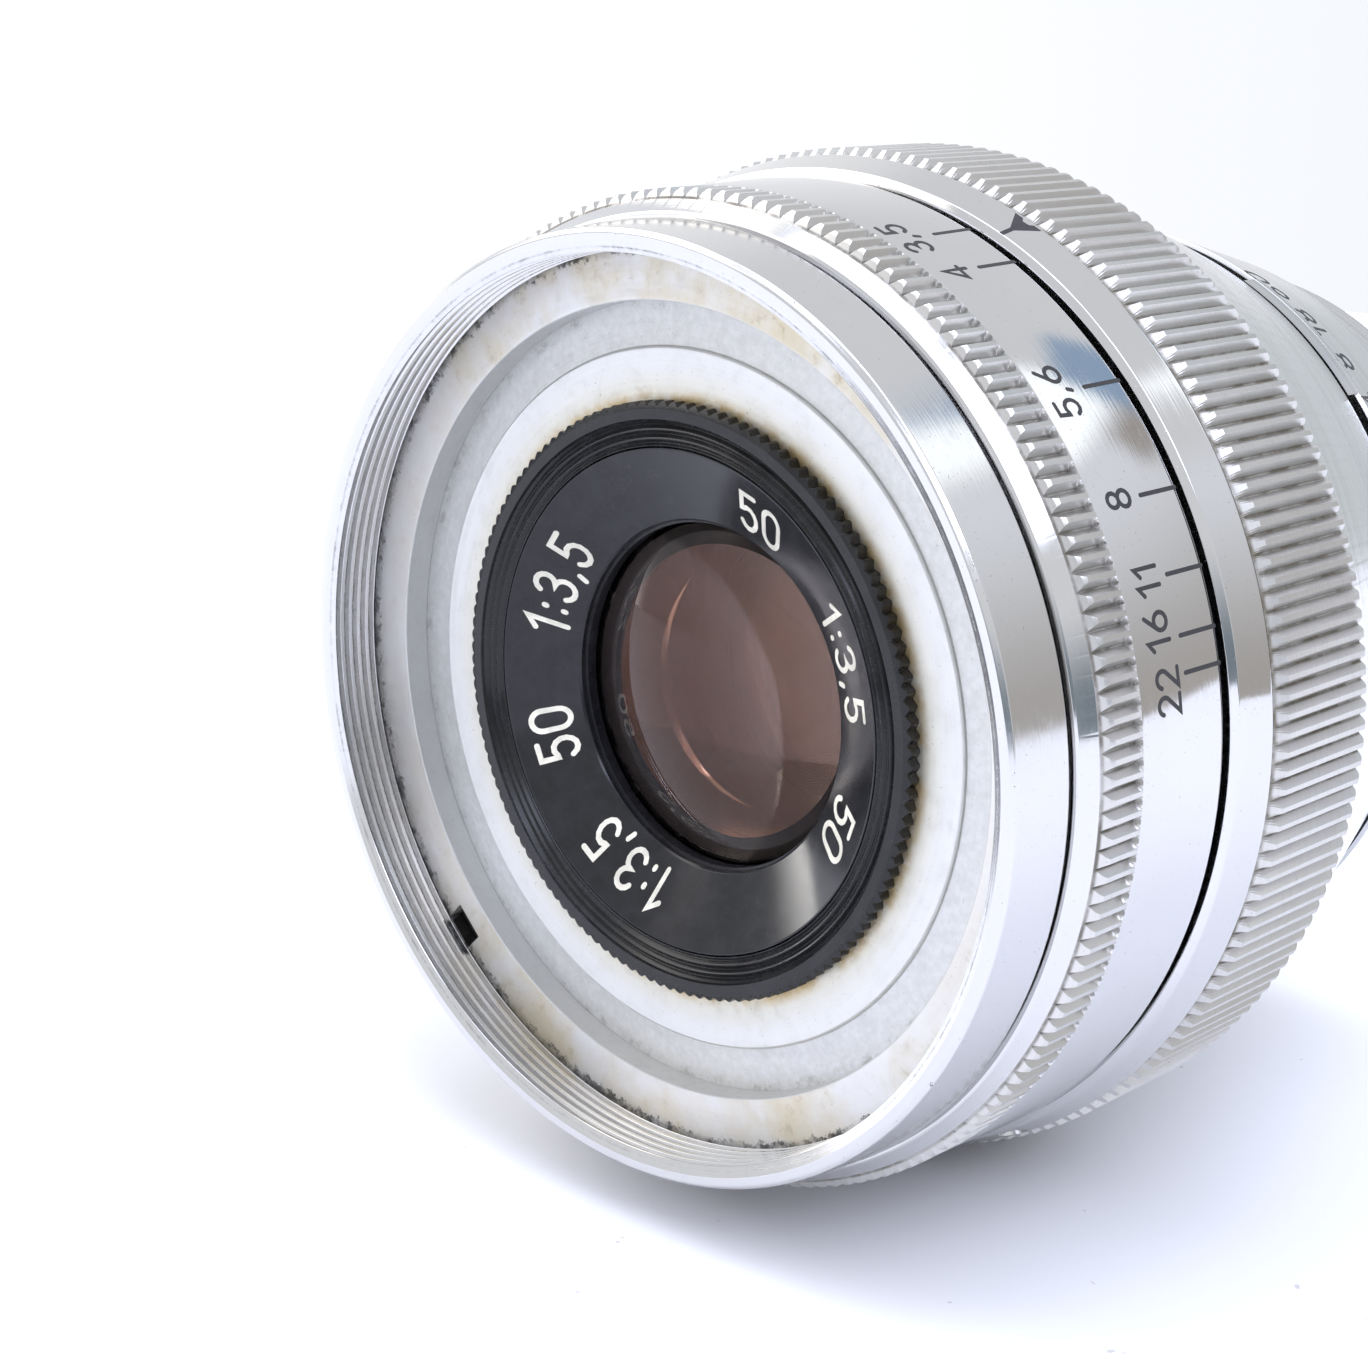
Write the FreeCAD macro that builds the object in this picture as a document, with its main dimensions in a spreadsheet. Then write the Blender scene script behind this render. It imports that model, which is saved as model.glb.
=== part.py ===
import FreeCAD, Part
import math
import os
import re

import Sketcher
from FreeCAD import Placement, Rotation, Vector

# Taking lens with its own focusing mount, used on an enlarger. Millimetres.
# The optical axis lies along Y. The front rim faces -Y and the rear thread points to +Y.
# The origin is on the axis, in the rear face of the mount flange, and +Z is up.
# Along the axis every place is a depth behind the front rim.
# Angles round the axis are counted about +Y, from straight up towards +X.

doc = FreeCAD.newDocument("lens")
sheet = doc.addObject("Spreadsheet::Sheet", "Dims")

DIMENSIONS = {
    # whole lens
    "front_y": -42.0, "bevel": 0.12, "run_gap": 0.05, "fit_gap": 0.02,
    # front barrel: threaded cup in front, skirt behind
    "rim_radius": 21.0, "lip_radius": 20.45, "lip_depth": 0.15,
    "barrel_radius": 21.3, "barrel_end": 3.38,
    "filter_major": 20.25, "filter_minor": 19.95, "filter_pitch": 0.5, "relief_radius": 20.45,
    "cup_bore": 20.25,
    "skirt_radius": 20.8, "skirt_bore": 18.2, "skirt_end": 12.3, "seat_depth": 5.0,
    # slotted retaining ring and the step ring it holds
    "retainer_front": 2.87, "retainer_bore": 17.77, "floor_depth": 4.17,
    "notch_radius": 19.05, "notch_width": 1.87, "notch_depth": 0.8, "notch_angle": -134.4,
    "land_outer": 15.75, "land_depth": 3.78, "land_foot": 3.98,
    # front cell and name ring
    "cell_knurl_radius": 13.45, "cell_knurl_root": 13.2, "cell_front": 3.16, "cell_seat": 3.86,
    "cell_thread": 12.2, "cell_body": 11.3, "cell_end": 11.15,
    "name_radius": 11.45, "name_front": 3.43, "name_bore": 8.06, "name_inner_depth": 5.19,
    "name_seat_radius": 10.25, "name_seat": 5.3, "name_rear": 6.1,
    # glasses
    "front_glass_radius": 8.2, "front_glass_vertex": 4.35, "front_glass_rear": 7.05,
    "front_glass_curve": 18.0,
    "mid_glass_radius": 8.25, "mid_glass_front": 7.9, "mid_glass_rear": 10.3,
    "mid_front_vertex": 8.45, "mid_rear_vertex": 9.35, "mid_front_curve": 40.0, "mid_rear_curve": 22.0,
    "rear_glass_radius": 7.75, "rear_glass_front": 14.0, "cement_vertex": 15.0, "cement_curve": 14.0,
    "rear_glass_vertex": 19.1, "rear_glass_curve": 22.0,
    # aperture ring
    "ring_front": 3.55, "ring_end": 12.0, "ring_flange": 22.0, "ring_flange_depth": 4.35,
    "ring_knurl_radius": 22.42, "ring_knurl_end": 6.52, "scale_front": 22.42, "scale_rear": 22.62,
    # index band and head sleeve
    "band_bore": 22.2, "band_front": 12.38, "band_end": 14.5, "band_front_radius": 22.95,
    "band_rear_radius": 23.45,
    "spigot_front": 8.6, "spigot_bore": 16.5, "sleeve_radius": 17.9, "sleeve_end": 27.0,
    "plate_seat": 13.45, "cell_bore": 15.2, "rear_cell_seat": 15.0, "sleeve_bore": 13.65,
    # iris
    "pivot_radius": 13.0, "lever": 3.6, "pin_radius": 0.35, "blade_inner": 6.6, "blade_outer": 11.2,
    "blade_start": 4.0, "blade_arc": 122.0, "blade_thick": 0.1, "blade_step": 0.15,
    "blade_last": 12.41, "ear_width": 1.3, "blade_rate": 0.4488, "open_angle": 2.8,
    "closed_angle": 52.9, "slot_half": 0.41, "cam_front": 10.42, "cam_end": 11.42,
    "cam_bore": 12.0, "plate_bore": 7.2, "plate_rim": 15.75, "plate_front": 12.45,
    "drive_angle": 200.0, "drive_radius": 0.4, "drive_head": 1.0, "drive_depth": 10.92,
    # focusing ring
    "focus_front": 14.65, "flute_tip": 23.72, "flute_root": 23.25, "flute_end": 21.7,
    "taper_radius": 19.5, "taper_end": 33.15, "lip_bore": 15.7, "lip_front": 28.55, "lip_end": 30.0,
    "journal_radius": 16.55,
    # rear mount and number ring
    "mount_bore": 13.6, "mount_front": 27.1, "mount_neck": 15.28, "retainer_seat": 28.5,
    "mount_shoulder": 30.05, "flange_front": 41.5, "flange_radius": 17.45, "flange_depth": 42.0,
    "mount_major": 16.25, "mount_minor": 15.95, "mount_pitch": 0.5, "mount_length": 4.5,
    "number_front": 34.2, "number_front_radius": 19.42, "number_rear_radius": 17.72,
    "tab_front": 33.4, "tab_start": 28.0, "tab_arc": 23.2,
    "stop_radius": 18.2, "stop_pin_radius": 0.5, "stop_screw_radius": 0.6,
    "stop_pin_angle": -37.0, "stop_screw_angle": -33.2,
    # keys and their slots
    "key_width": 3.0, "key_top": 14.6, "key_front": 18.0, "key_end": 33.5, "key_slot_front": 17.0,
}
for row, (alias, number) in enumerate(DIMENSIONS.items(), start=1):
    sheet.set(f"A{row}", alias)
    sheet.set(f"B{row}", str(number))
    sheet.setAlias(f"B{row}", alias)
doc.recompute()

FILTER_TURNS = 5
MOUNT_TURNS = 8
BLADES = 6
FLUTES = 184
RING_TEETH = 176
CELL_TEETH = 135
BAND_SCREW_ANGLES = (150, 210, 270)
NUMBER_SCREW_ANGLES = (150, 210, 270)
FORWARD = Rotation(Vector(1, 0, 0), -90)  # turns a primitive's own Z axis to +Y

WORD = re.compile(r"[a-z][a-z_]+")
FUNCTIONS = ("sqrt", "sin", "cos")


def bound(text):
    """The expression with each sheet name pointing at its cell."""
    return WORD.sub(lambda m: m.group() if m.group() in FUNCTIONS else "Dims." + m.group(), str(text))


def size(text):
    """The present value of an expression of sheet names."""
    value = sheet.evalExpression(bound(text))
    return float(getattr(value, "Value", value))


def along(depth):
    """The Y expression of a depth behind the front rim."""
    return f"front_y + ({depth})"


# ---------------------------------------------------------------- turned pieces

def turned(label, outline):
    """A body turned about Y from (radius, depth) corners, each bound to the sheet."""
    body = doc.addObject("PartDesign::Body", label)
    sketch = body.newObject("Sketcher::SketchObject", label + "_outline")
    plane = next(f for f in body.Origin.OriginFeatures if f.Role == "XY_Plane")
    sketch.AttachmentSupport = [(plane, "")]
    sketch.MapMode = "FlatFace"
    corners = [Vector(size(radius), size(along(depth)), 0) for radius, depth in outline]
    count = len(corners)
    sketch.addGeometry([Part.LineSegment(corners[i], corners[(i + 1) % count]) for i in range(count)])
    for i, (radius, depth) in enumerate(outline):
        sketch.addConstraint(Sketcher.Constraint("Coincident", i, 2, (i + 1) % count, 1))
        across = sketch.addConstraint(Sketcher.Constraint("DistanceX", -1, 1, i, 1, corners[i].x))
        sketch.setExpression(f"Constraints[{across}]", bound(radius))
        if abs(corners[i].y) < 1e-9:
            sketch.addConstraint(Sketcher.Constraint("PointOnObject", i, 1, -1))
            continue
        lengthways = sketch.addConstraint(Sketcher.Constraint("DistanceY", -1, 1, i, 1, corners[i].y))
        sketch.setExpression(f"Constraints[{lengthways}]", bound(along(depth)))
    turn = body.newObject("PartDesign::Revolution", label + "_turn")
    turn.Profile = sketch
    turn.ReferenceAxis = (sketch, ["V_Axis"])
    turn.Angle = 360
    return body


def tube(label, inner, outer, start, end):
    """A plain ring between two radii and two depths."""
    return turned(label, [(inner, start), (outer, start), (outer, end), (inner, end)])


def grooves(first, turns, pitch, crest, root):
    """Corners of V thread grooves from the first depth on, front to rear."""
    corners = []
    for i in range(turns):
        here = f"{first} + {i}*{pitch}"
        corners += [(crest, here), (root, f"{here} + 0.44*{pitch}"), (root, f"{here} + 0.52*{pitch}"),
                    (crest, f"{here} + 0.9*{pitch}")]
    return corners


# ------------------------------------------------------------------- primitives

def place(item, radius, angle, depth, axis):
    """Put an item at a radius, an angle and a depth. The axis is 'along' or 'outward'."""
    spin = Rotation(Vector(0, 1, 0), size(angle))
    rest = FORWARD if axis == "along" else Rotation()
    centre = spin.multVec(Vector(0, 0, size(radius)))
    item.Placement = Placement(Vector(0, size(along(depth)), 0) + centre, spin.multiply(rest))


def rod(name, radius, length, at_radius, angle, depth, axis):
    """A round rod that starts at the given place."""
    item = doc.addObject("Part::Cylinder", name)
    item.setExpression("Radius", bound(radius))
    item.setExpression("Height", bound(length))
    place(item, at_radius, angle, depth, axis)
    return item


def block(name, inner, outer, width, start, end, angle):
    """A box that stands out from the axis between two radii and two depths."""
    item = doc.addObject("Part::Box", name)
    item.setExpression("Length", bound(width))
    item.setExpression("Width", bound(f"({end}) - ({start})"))
    item.setExpression("Height", bound(f"({outer}) - ({inner})"))
    spin = Rotation(Vector(0, 1, 0), size(angle))
    corner = Vector(-size(width) / 2, 0, size(inner))
    item.Placement = Placement(spin.multVec(corner) + Vector(0, size(along(start)), 0), spin)
    return item


def sector(name, inner, outer, start, end, angle, arc):
    """Part of a ring from an angle on, over an arc."""
    whole = doc.addObject("Part::Cylinder", name + "_outer")
    hole = doc.addObject("Part::Cylinder", name + "_inner")
    for item, radius in ((whole, outer), (hole, inner)):
        item.setExpression("Radius", bound(radius))
        item.setExpression("Height", bound(f"({end}) - ({start})"))
        item.Placement = Placement(Vector(0, size(along(start)), 0), FORWARD)
    whole.setExpression("Angle", bound(arc))
    spin = Rotation(Vector(0, 1, 0), size(angle) - 90)
    whole.Placement = Placement(Vector(0, size(along(start)), 0), spin.multiply(FORWARD))
    return cut(name, whole, hole)


def ball(name, radius, centre):
    """A sphere on the axis, for a polished glass surface."""
    item = doc.addObject("Part::Sphere", name)
    item.setExpression("Radius", bound(radius))
    item.setExpression("Placement.Base.y", bound(along(centre)))
    return item


def disc(name, radius, start, end):
    """A solid disc on the axis."""
    item = doc.addObject("Part::Cylinder", name)
    item.setExpression("Radius", bound(radius))
    item.setExpression("Height", bound(f"({end}) - ({start})"))
    item.Placement = Placement(Vector(0, 0, 0), FORWARD)
    item.setExpression("Placement.Base.y", bound(along(start)))
    return item


def cut(label, base, *tools):
    """The base with each tool taken away."""
    tool = tools[0] if len(tools) == 1 else fuse(label + "_tools", *tools)
    item = doc.addObject("Part::Cut", label)
    item.Base = base
    item.Tool = tool
    return item


def fuse(label, *shapes):
    """Several shapes as one."""
    item = doc.addObject("Part::MultiFuse", label)
    item.Shapes = list(shapes)
    return item


def common(label, *shapes):
    """What several shapes share."""
    item = doc.addObject("Part::MultiCommon", label)
    item.Shapes = list(shapes)
    return item


def toothed_prism(name, teeth, tip, root, start, end, flat):
    """A prism round the axis with V grooves. Flat is the share of each pitch left as a crest."""
    pitch = 2 * math.pi / teeth
    points = []
    for i in range(teeth):
        for share, radius in ((0, tip), (flat, tip), ((1 + flat) / 2, root)):
            angle = (i + share) * pitch
            points.append(Vector(size(radius) * math.sin(angle), 0, size(radius) * math.cos(angle)))
    face = Part.Face(Part.makePolygon(points + points[:1]))
    item = doc.addObject("Part::Feature", name)
    item.Shape = face.extrude(Vector(0, size(end) - size(start), 0))
    item.Placement = Placement(Vector(0, size(along(start)), 0), Rotation())
    return item


# ------------------------------------------------------------------ front group

def front_barrel():
    """Cup with the filter thread, and the skirt that carries the aperture ring."""
    thread = grooves("lip_depth", FILTER_TURNS, "filter_pitch", "filter_minor", "filter_major")
    relief = f"lip_depth + {FILTER_TURNS}*filter_pitch"
    outline = [("lip_radius", "0"), *thread, ("filter_minor", relief),
               ("relief_radius", relief), ("relief_radius", "retainer_front"),
               ("cup_bore", "retainer_front"), ("cup_bore", "seat_depth"),
               ("skirt_bore", "seat_depth"), ("skirt_bore", "skirt_end"), ("skirt_radius", "skirt_end"),
               ("skirt_radius", "barrel_end"), ("barrel_radius - bevel", "barrel_end"),
               ("barrel_radius", "barrel_end - bevel"), ("rim_radius", "bevel"),
               ("rim_radius - bevel", "0")]
    body = turned("front_barrel_turned", outline)
    return cut("front_barrel", body, drive_slot("barrel_slot", "skirt_bore - 1", "skirt_radius + 1"))


def drive_slot(name, inner, outer):
    """Window over the arc that the drive screw sweeps, with some room at its ends."""
    return sector(name, inner, outer, "drive_depth - drive_radius - 0.15",
                  "drive_depth + drive_radius + 0.15", "drive_angle - closed_angle - 3.5",
                  "closed_angle + open_angle + 7")


def cup_retainer():
    """Pale ring screwed into the cup, with two notches for a spanner."""
    ring = tube("cup_retainer_turned", "retainer_bore", "cup_bore - fit_gap", "retainer_front",
                "floor_depth")
    notches = [block(f"notch_{i}", "notch_radius", "cup_bore + 1", "notch_width",
                     "retainer_front - 1", "retainer_front + notch_depth", f"notch_angle + {180 * i}")
               for i in range(2)]
    return cut("cup_retainer", ring, *notches)


def step_ring():
    """Front plate: sloping floor, raised white land, and the thread for the front cell."""
    return turned("step_ring", [
        ("cell_thread + fit_gap", "cell_seat"), ("cell_knurl_radius", "cell_seat"),
        ("land_outer - 0.08", "land_depth"), ("land_outer", "land_depth + 0.06"),
        ("land_outer", "land_foot"), ("retainer_bore", "floor_depth"),
        ("cup_bore - fit_gap", "floor_depth"), ("cup_bore - fit_gap", "seat_depth"),
        ("skirt_bore - fit_gap", "seat_depth"), ("skirt_bore - fit_gap", "seat_depth + 0.7"),
        ("cell_thread + fit_gap", "seat_depth + 0.7")])


def front_cell():
    """Black cell: knurled collar with fine steps, and the barrel that holds two glasses."""
    steps = []
    for i in range(3):
        steps += [(f"name_radius + 0.17 + {0.4 * i}", f"name_front + {0.17 - 0.02 * i}"),
                  (f"name_radius + 0.36 + {0.4 * i}", f"name_front - {0.08 + 0.02 * i}")]
    core = turned("front_cell_turned", [
        ("name_radius", "name_front"), *steps, ("name_radius + 1.22", "cell_front"),
        ("cell_knurl_root - 0.1", "cell_front"), ("cell_knurl_root", "cell_front + 0.1"),
        ("cell_knurl_root", "cell_seat"), ("cell_thread", "cell_seat"), ("cell_thread", "name_rear + 0.1"),
        ("cell_body", "name_rear + 0.1"), ("cell_body", "cell_end"),
        ("mid_glass_radius + 0.05", "cell_end"), ("mid_glass_radius + 0.05", "front_glass_rear + 0.3"),
        ("front_glass_radius - 0.7", "front_glass_rear + 0.3"),
        ("front_glass_radius - 0.7", "front_glass_rear"),
        ("front_glass_radius + fit_gap", "front_glass_rear"),
        ("front_glass_radius + fit_gap", "name_rear + 0.02"), ("name_seat_radius", "name_rear + 0.02"),
        ("name_seat_radius", "name_seat"), ("name_radius", "name_seat")])
    teeth = toothed_prism("cell_teeth", CELL_TEETH, "cell_knurl_radius + 0.05", "cell_knurl_root - 0.02",
                          "cell_front", "cell_seat", 0.2)
    shape = turned("cell_teeth_limits", [
        ("cell_thread + 0.3", "cell_front + 0.02"), ("cell_knurl_root - 0.05", "cell_front + 0.02"),
        ("cell_knurl_radius", "cell_front + 0.14"), ("cell_knurl_radius", "cell_seat"),
        ("cell_thread + 0.3", "cell_seat")])
    return fuse("front_cell", core, common("cell_teeth_trimmed", teeth, shape))


def name_ring():
    """Black ring that holds the front glass: a conical face and a stepped bore."""
    return turned("name_ring", [
        ("name_bore", "name_inner_depth"), ("name_radius - fit_gap", "name_front"),
        ("name_radius - fit_gap", "name_seat"), ("name_seat_radius - fit_gap", "name_seat"),
        ("name_seat_radius - fit_gap", "name_rear"), ("name_bore - 0.21", "name_rear"),
        ("name_bore - 0.21", "name_inner_depth + 0.36"), ("name_bore - 0.08", "name_inner_depth + 0.36"),
        ("name_bore - 0.08", "name_inner_depth + 0.1")])


# ---------------------------------------------------------------------- glasses

def front_glass():
    """Plano-convex front element."""
    return common("front_glass",
                  disc("front_glass_edge", "front_glass_radius", "front_glass_vertex - 1",
                       "front_glass_rear"),
                  ball("front_glass_ball", "front_glass_curve", "front_glass_vertex + front_glass_curve"))


def middle_glass():
    """Biconcave middle element."""
    return cut("middle_glass",
               disc("middle_glass_edge", "mid_glass_radius", "mid_glass_front", "mid_glass_rear"),
               ball("middle_front_ball", "mid_front_curve", "mid_front_vertex - mid_front_curve"),
               ball("middle_rear_ball", "mid_rear_curve", "mid_rear_vertex + mid_rear_curve"))


def rear_glasses():
    """Cemented rear pair: a plano-concave glass and a biconvex one."""
    rim = "cement_vertex + cement_curve - sqrt(cement_curve^2 - rear_glass_radius^2)"
    hollow = ball("cement_ball_a", "cement_curve", "cement_vertex + cement_curve")
    outer = ball("cement_ball_b", "cement_curve", "cement_vertex + cement_curve")
    return (cut("rear_glass_a", disc("rear_glass_a_edge", "rear_glass_radius", "rear_glass_front", rim),
                hollow),
            common("rear_glass_b",
                   disc("rear_glass_b_edge", "rear_glass_radius", "cement_vertex - 1",
                        "rear_glass_vertex + 1"), outer,
                   ball("rear_ball", "rear_glass_curve", "rear_glass_vertex - rear_glass_curve")))


def cell_rings():
    """Spacer and retainers that keep the glasses in the cells."""
    outer = "mid_glass_radius + 0.05 - fit_gap"
    return (tube("glass_spacer", "front_glass_radius - 1.9", outer, "front_glass_rear + 0.3",
                 "mid_glass_front"),
            tube("front_cell_retainer", "front_glass_radius - 1.3", outer, "mid_glass_rear", "cell_end"),
            tube("rear_cell_retainer", "rear_glass_radius - 0.75", "rear_glass_radius + 0.03",
                 "rear_glass_vertex - 1.05", "rear_glass_vertex + 0.5"))


def rear_cell():
    """Cell for the cemented pair, with a flange that seats in the head sleeve."""
    return turned("rear_cell", [
        ("rear_glass_radius - 0.85", "plate_seat"), ("cell_bore - fit_gap", "plate_seat"),
        ("cell_bore - fit_gap", "rear_cell_seat"), ("rear_glass_radius + 2.45", "rear_cell_seat"),
        ("rear_glass_radius + 2.45", "rear_glass_vertex + 1.7"),
        ("rear_glass_radius + 0.05", "rear_glass_vertex + 1.7"),
        ("rear_glass_radius + 0.05", "rear_glass_front"), ("rear_glass_radius - 0.85", "rear_glass_front")])


# -------------------------------------------------------------- aperture control

def aperture_ring():
    """Bevelled front band, fine knurl, and the smooth band that carries the scale."""
    core = turned("aperture_ring_turned", [
        ("skirt_radius + run_gap", "ring_front"), ("barrel_radius + bevel", "ring_front"),
        ("barrel_radius + 2*bevel", "ring_front + bevel"), ("ring_flange", "ring_flange_depth"),
        ("ring_flange", "ring_knurl_end"), ("scale_front", "ring_knurl_end + 0.06"),
        ("scale_rear", "ring_end - 0.2"), ("scale_rear - 0.17", "ring_end"),
        ("skirt_radius + run_gap", "ring_end")])
    teeth = toothed_prism("ring_teeth", RING_TEETH, "ring_knurl_radius + 0.06", "ring_flange - 0.03",
                          "ring_flange_depth", "ring_knurl_end", 0.12)
    limits = turned("ring_teeth_limits", [
        ("ring_flange - 0.6", "ring_flange_depth + 0.02"), ("ring_flange", "ring_flange_depth + 0.02"),
        ("ring_knurl_radius", "ring_flange_depth + 0.42"), ("ring_knurl_radius", "ring_knurl_end"),
        ("ring_flange - 0.6", "ring_knurl_end")])
    ring = fuse("aperture_ring_solid", core, common("ring_teeth_trimmed", teeth, limits))
    hole = rod("ring_hole", "drive_radius", "6", "skirt_radius - 1", "drive_angle", "drive_depth",
               "outward")
    sink = rod("ring_sink", "drive_head", "3", "scale_rear - 0.95", "drive_angle", "drive_depth",
               "outward")
    return cut("aperture_ring", ring, hole, sink)


def aperture_drive_screw():
    """Screw that joins the aperture ring to the cam ring inside."""
    shank = rod("drive_shank", "drive_radius", "scale_rear - 0.5 - plate_rim", "plate_rim",
                "drive_angle", "drive_depth", "outward")
    head = rod("drive_head_disc", "drive_head", "0.65", "scale_rear - 0.95", "drive_angle",
               "drive_depth", "outward")
    slit = block("drive_slit", "scale_rear - 0.6", "scale_rear + 1", "0.3",
                 "drive_depth - 2", "drive_depth + 2", "drive_angle")
    return cut("aperture_drive_screw", fuse("drive_solid", shank, head), slit)


def blade_pin_at(closing):
    """Place of a blade's drive pin, seen from the cam ring, when the ring has closed by an angle."""
    swing = math.radians(size("blade_rate") * closing)
    across = size("pivot_radius") + size("lever") * math.sin(swing)
    back = -size("lever") * math.cos(swing)
    turned_by = math.radians(closing - size("open_angle"))
    angle = math.atan2(back, across) + turned_by
    return Vector(math.hypot(across, back) * math.cos(angle), 0, -math.hypot(across, back) * math.sin(angle))


def iris_cam_ring():
    """Ring with one curved slot for each blade, driven by the aperture ring."""
    ring = tube("cam_ring_turned", "cam_bore", "spigot_bore - run_gap", "cam_front", "cam_end")
    travel = size("open_angle + closed_angle")
    path = Part.Wire(Part.Arc(*[blade_pin_at(a) for a in (-0.5, travel / 2, travel + 0.5)]).toShape())
    outline = path.makeOffset2D(size("slot_half"))
    cutter = Part.Face(outline).extrude(Vector(0, 3, 0))
    slots = []
    for i in range(BLADES):
        slot = doc.addObject("Part::Feature", f"cam_slot_{i + 1}")
        slot.Shape = cutter
        slot.Placement = Placement(Vector(0, size(along("cam_front - 1")), 0),
                                   Rotation(Vector(0, 1, 0), 360 / BLADES * i))
        slots.append(slot)
    hole = rod("cam_hole", "drive_radius", "3", "plate_rim", "drive_angle", "drive_depth", "outward")
    return cut("iris_cam_ring", ring, *slots, hole)


def iris_plate():
    """Fixed plate with a bearing hole for each blade and a rim that the cam ring turns on."""
    plate = turned("iris_plate_turned", [
        ("plate_bore", "plate_front"), ("plate_rim", "plate_front"), ("plate_rim", "cam_end + 0.03"),
        ("spigot_bore - fit_gap", "cam_end + 0.03"), ("spigot_bore - fit_gap", "plate_seat"),
        ("plate_bore", "plate_seat")])
    holes = [rod(f"bearing_{i + 1}", "pin_radius + 0.03", "2", "pivot_radius", f"90 + {360 / BLADES * i}",
                 "plate_front - 0.5", "along") for i in range(BLADES)]
    return cut("iris_plate", plate, *holes)


def iris_blade(i):
    """Thin curved leaf with an ear, a pivot pin behind it and a drive pin in front of it."""
    name = f"iris_blade_{i + 1}"
    rear = f"blade_last - {i}*blade_step"
    front = f"{rear} - blade_thick"
    leaf = sector(name + "_leaf", "blade_inner", "blade_outer", front, rear, "90 - blade_start",
                  "blade_arc")
    arm = block(name + "_arm", "blade_outer - 0.5", "pivot_radius", "ear_width", front, rear, "90")
    ear = doc.addObject("Part::Box", name + "_ear")
    ear.setExpression("Length", bound("ear_width"))
    ear.setExpression("Width", bound("blade_thick"))
    ear.setExpression("Height", bound("lever"))
    ear.Placement = Placement(Vector(size("pivot_radius - ear_width/2"), size(along(front)), 0),
                              Rotation())
    lever_radius = "sqrt(pivot_radius^2 + lever^2)"
    lever_angle = 90 - math.degrees(math.atan2(size("lever"), size("pivot_radius")))
    ends = [rod(name + "_pivot_end", "ear_width/2", "blade_thick", "pivot_radius", "90", front, "along"),
            rod(name + "_lever_end", "ear_width/2", "blade_thick", lever_radius, lever_angle, front,
                "along")]
    pins = [rod(name + "_pivot", "pin_radius", f"plate_seat - 0.1 - ({front})", "pivot_radius", "90",
                front, "along"),
            rod(name + "_drive", "pin_radius", f"{rear} - cam_front - 0.1", lever_radius, lever_angle,
                "cam_front + 0.1", "along")]
    flat = fuse(name, leaf, arm, ear, *ends, *pins)
    # the leaf swings about its pivot to the resting stop, then goes round to its own place
    pivot = Vector(size("pivot_radius"), 0, 0)
    swing = Placement(Vector(), Rotation(Vector(0, 1, 0), size("blade_rate*open_angle")), pivot)
    round_to = Placement(Vector(), Rotation(Vector(0, 1, 0), 360 / BLADES * i))
    flat.Placement = round_to.multiply(swing)
    return flat


# -------------------------------------------------------------------- lens head

def index_band():
    """Smooth sloping band with the aperture index."""
    band = turned("index_band_turned", [
        ("band_bore + fit_gap", "band_front"), ("band_front_radius - 0.3", "band_front"),
        ("band_front_radius", "band_front + 0.24"), ("band_rear_radius", "band_end - bevel"),
        ("band_rear_radius - bevel", "band_end"), ("band_bore + fit_gap", "band_end")])
    holes = [rod(f"band_hole_{a}", "0.7", "3", "band_bore - 1", str(a), "band_end - 1", "outward")
             for a in BAND_SCREW_ANGLES]
    return cut("index_band", band, *holes)


def grub_screws(label, angles, radius, start, end, depth):
    """Slotted grub screws in one node, their axes pointing out from the lens axis."""
    screws = []
    for a in angles:
        screw = rod(f"{label}_{a}", radius, f"({end}) - ({start})", start, str(a), depth, "outward")
        slit = block(f"{label}_slit_{a}", f"({end}) - 0.3", f"({end}) + 1", "0.22", f"{depth} - 2",
                     f"{depth} + 2", str(a))
        screws.append(cut(f"{label}_cut_{a}", screw, slit))
    return fuse(label, *screws)


def head_sleeve():
    """Focusing sleeve: spigot and iris housing in front, flange, and the sleeve behind."""
    sleeve = turned("head_sleeve_turned", [
        ("spigot_bore", "spigot_front"), ("skirt_bore - fit_gap", "spigot_front"),
        ("skirt_bore - fit_gap", "skirt_end"), ("band_bore", "skirt_end"), ("band_bore", "band_end"),
        ("sleeve_radius", "band_end"), ("sleeve_radius", "sleeve_end"), ("sleeve_bore", "sleeve_end"),
        ("sleeve_bore", "rear_cell_seat"), ("cell_bore", "rear_cell_seat"), ("cell_bore", "plate_seat"),
        ("spigot_bore", "plate_seat")])
    slots = [block(f"key_slot_{a}", "sleeve_bore - 2", "key_top + 0.1", "key_width + 2*run_gap",
                   "key_slot_front", "sleeve_end + 1", str(a)) for a in (90, 270)]
    window = drive_slot("sleeve_slot", "spigot_bore - 1", "skirt_bore + 1")
    sinks = [rod(f"band_sink_{a}", "0.7", "3", "band_bore - 1", str(a), "band_end - 1", "outward")
             for a in BAND_SCREW_ANGLES]
    return cut("head_sleeve", sleeve, window, *slots, *sinks)


def iris_cover():
    """Ring screwed in ahead of the cam ring to keep it down."""
    return tube("iris_cover", "cam_bore", "spigot_bore - fit_gap", "cam_front - 0.04 - 0.95",
                "cam_front - 0.04")


# --------------------------------------------------------- focusing ring and mount

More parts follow.
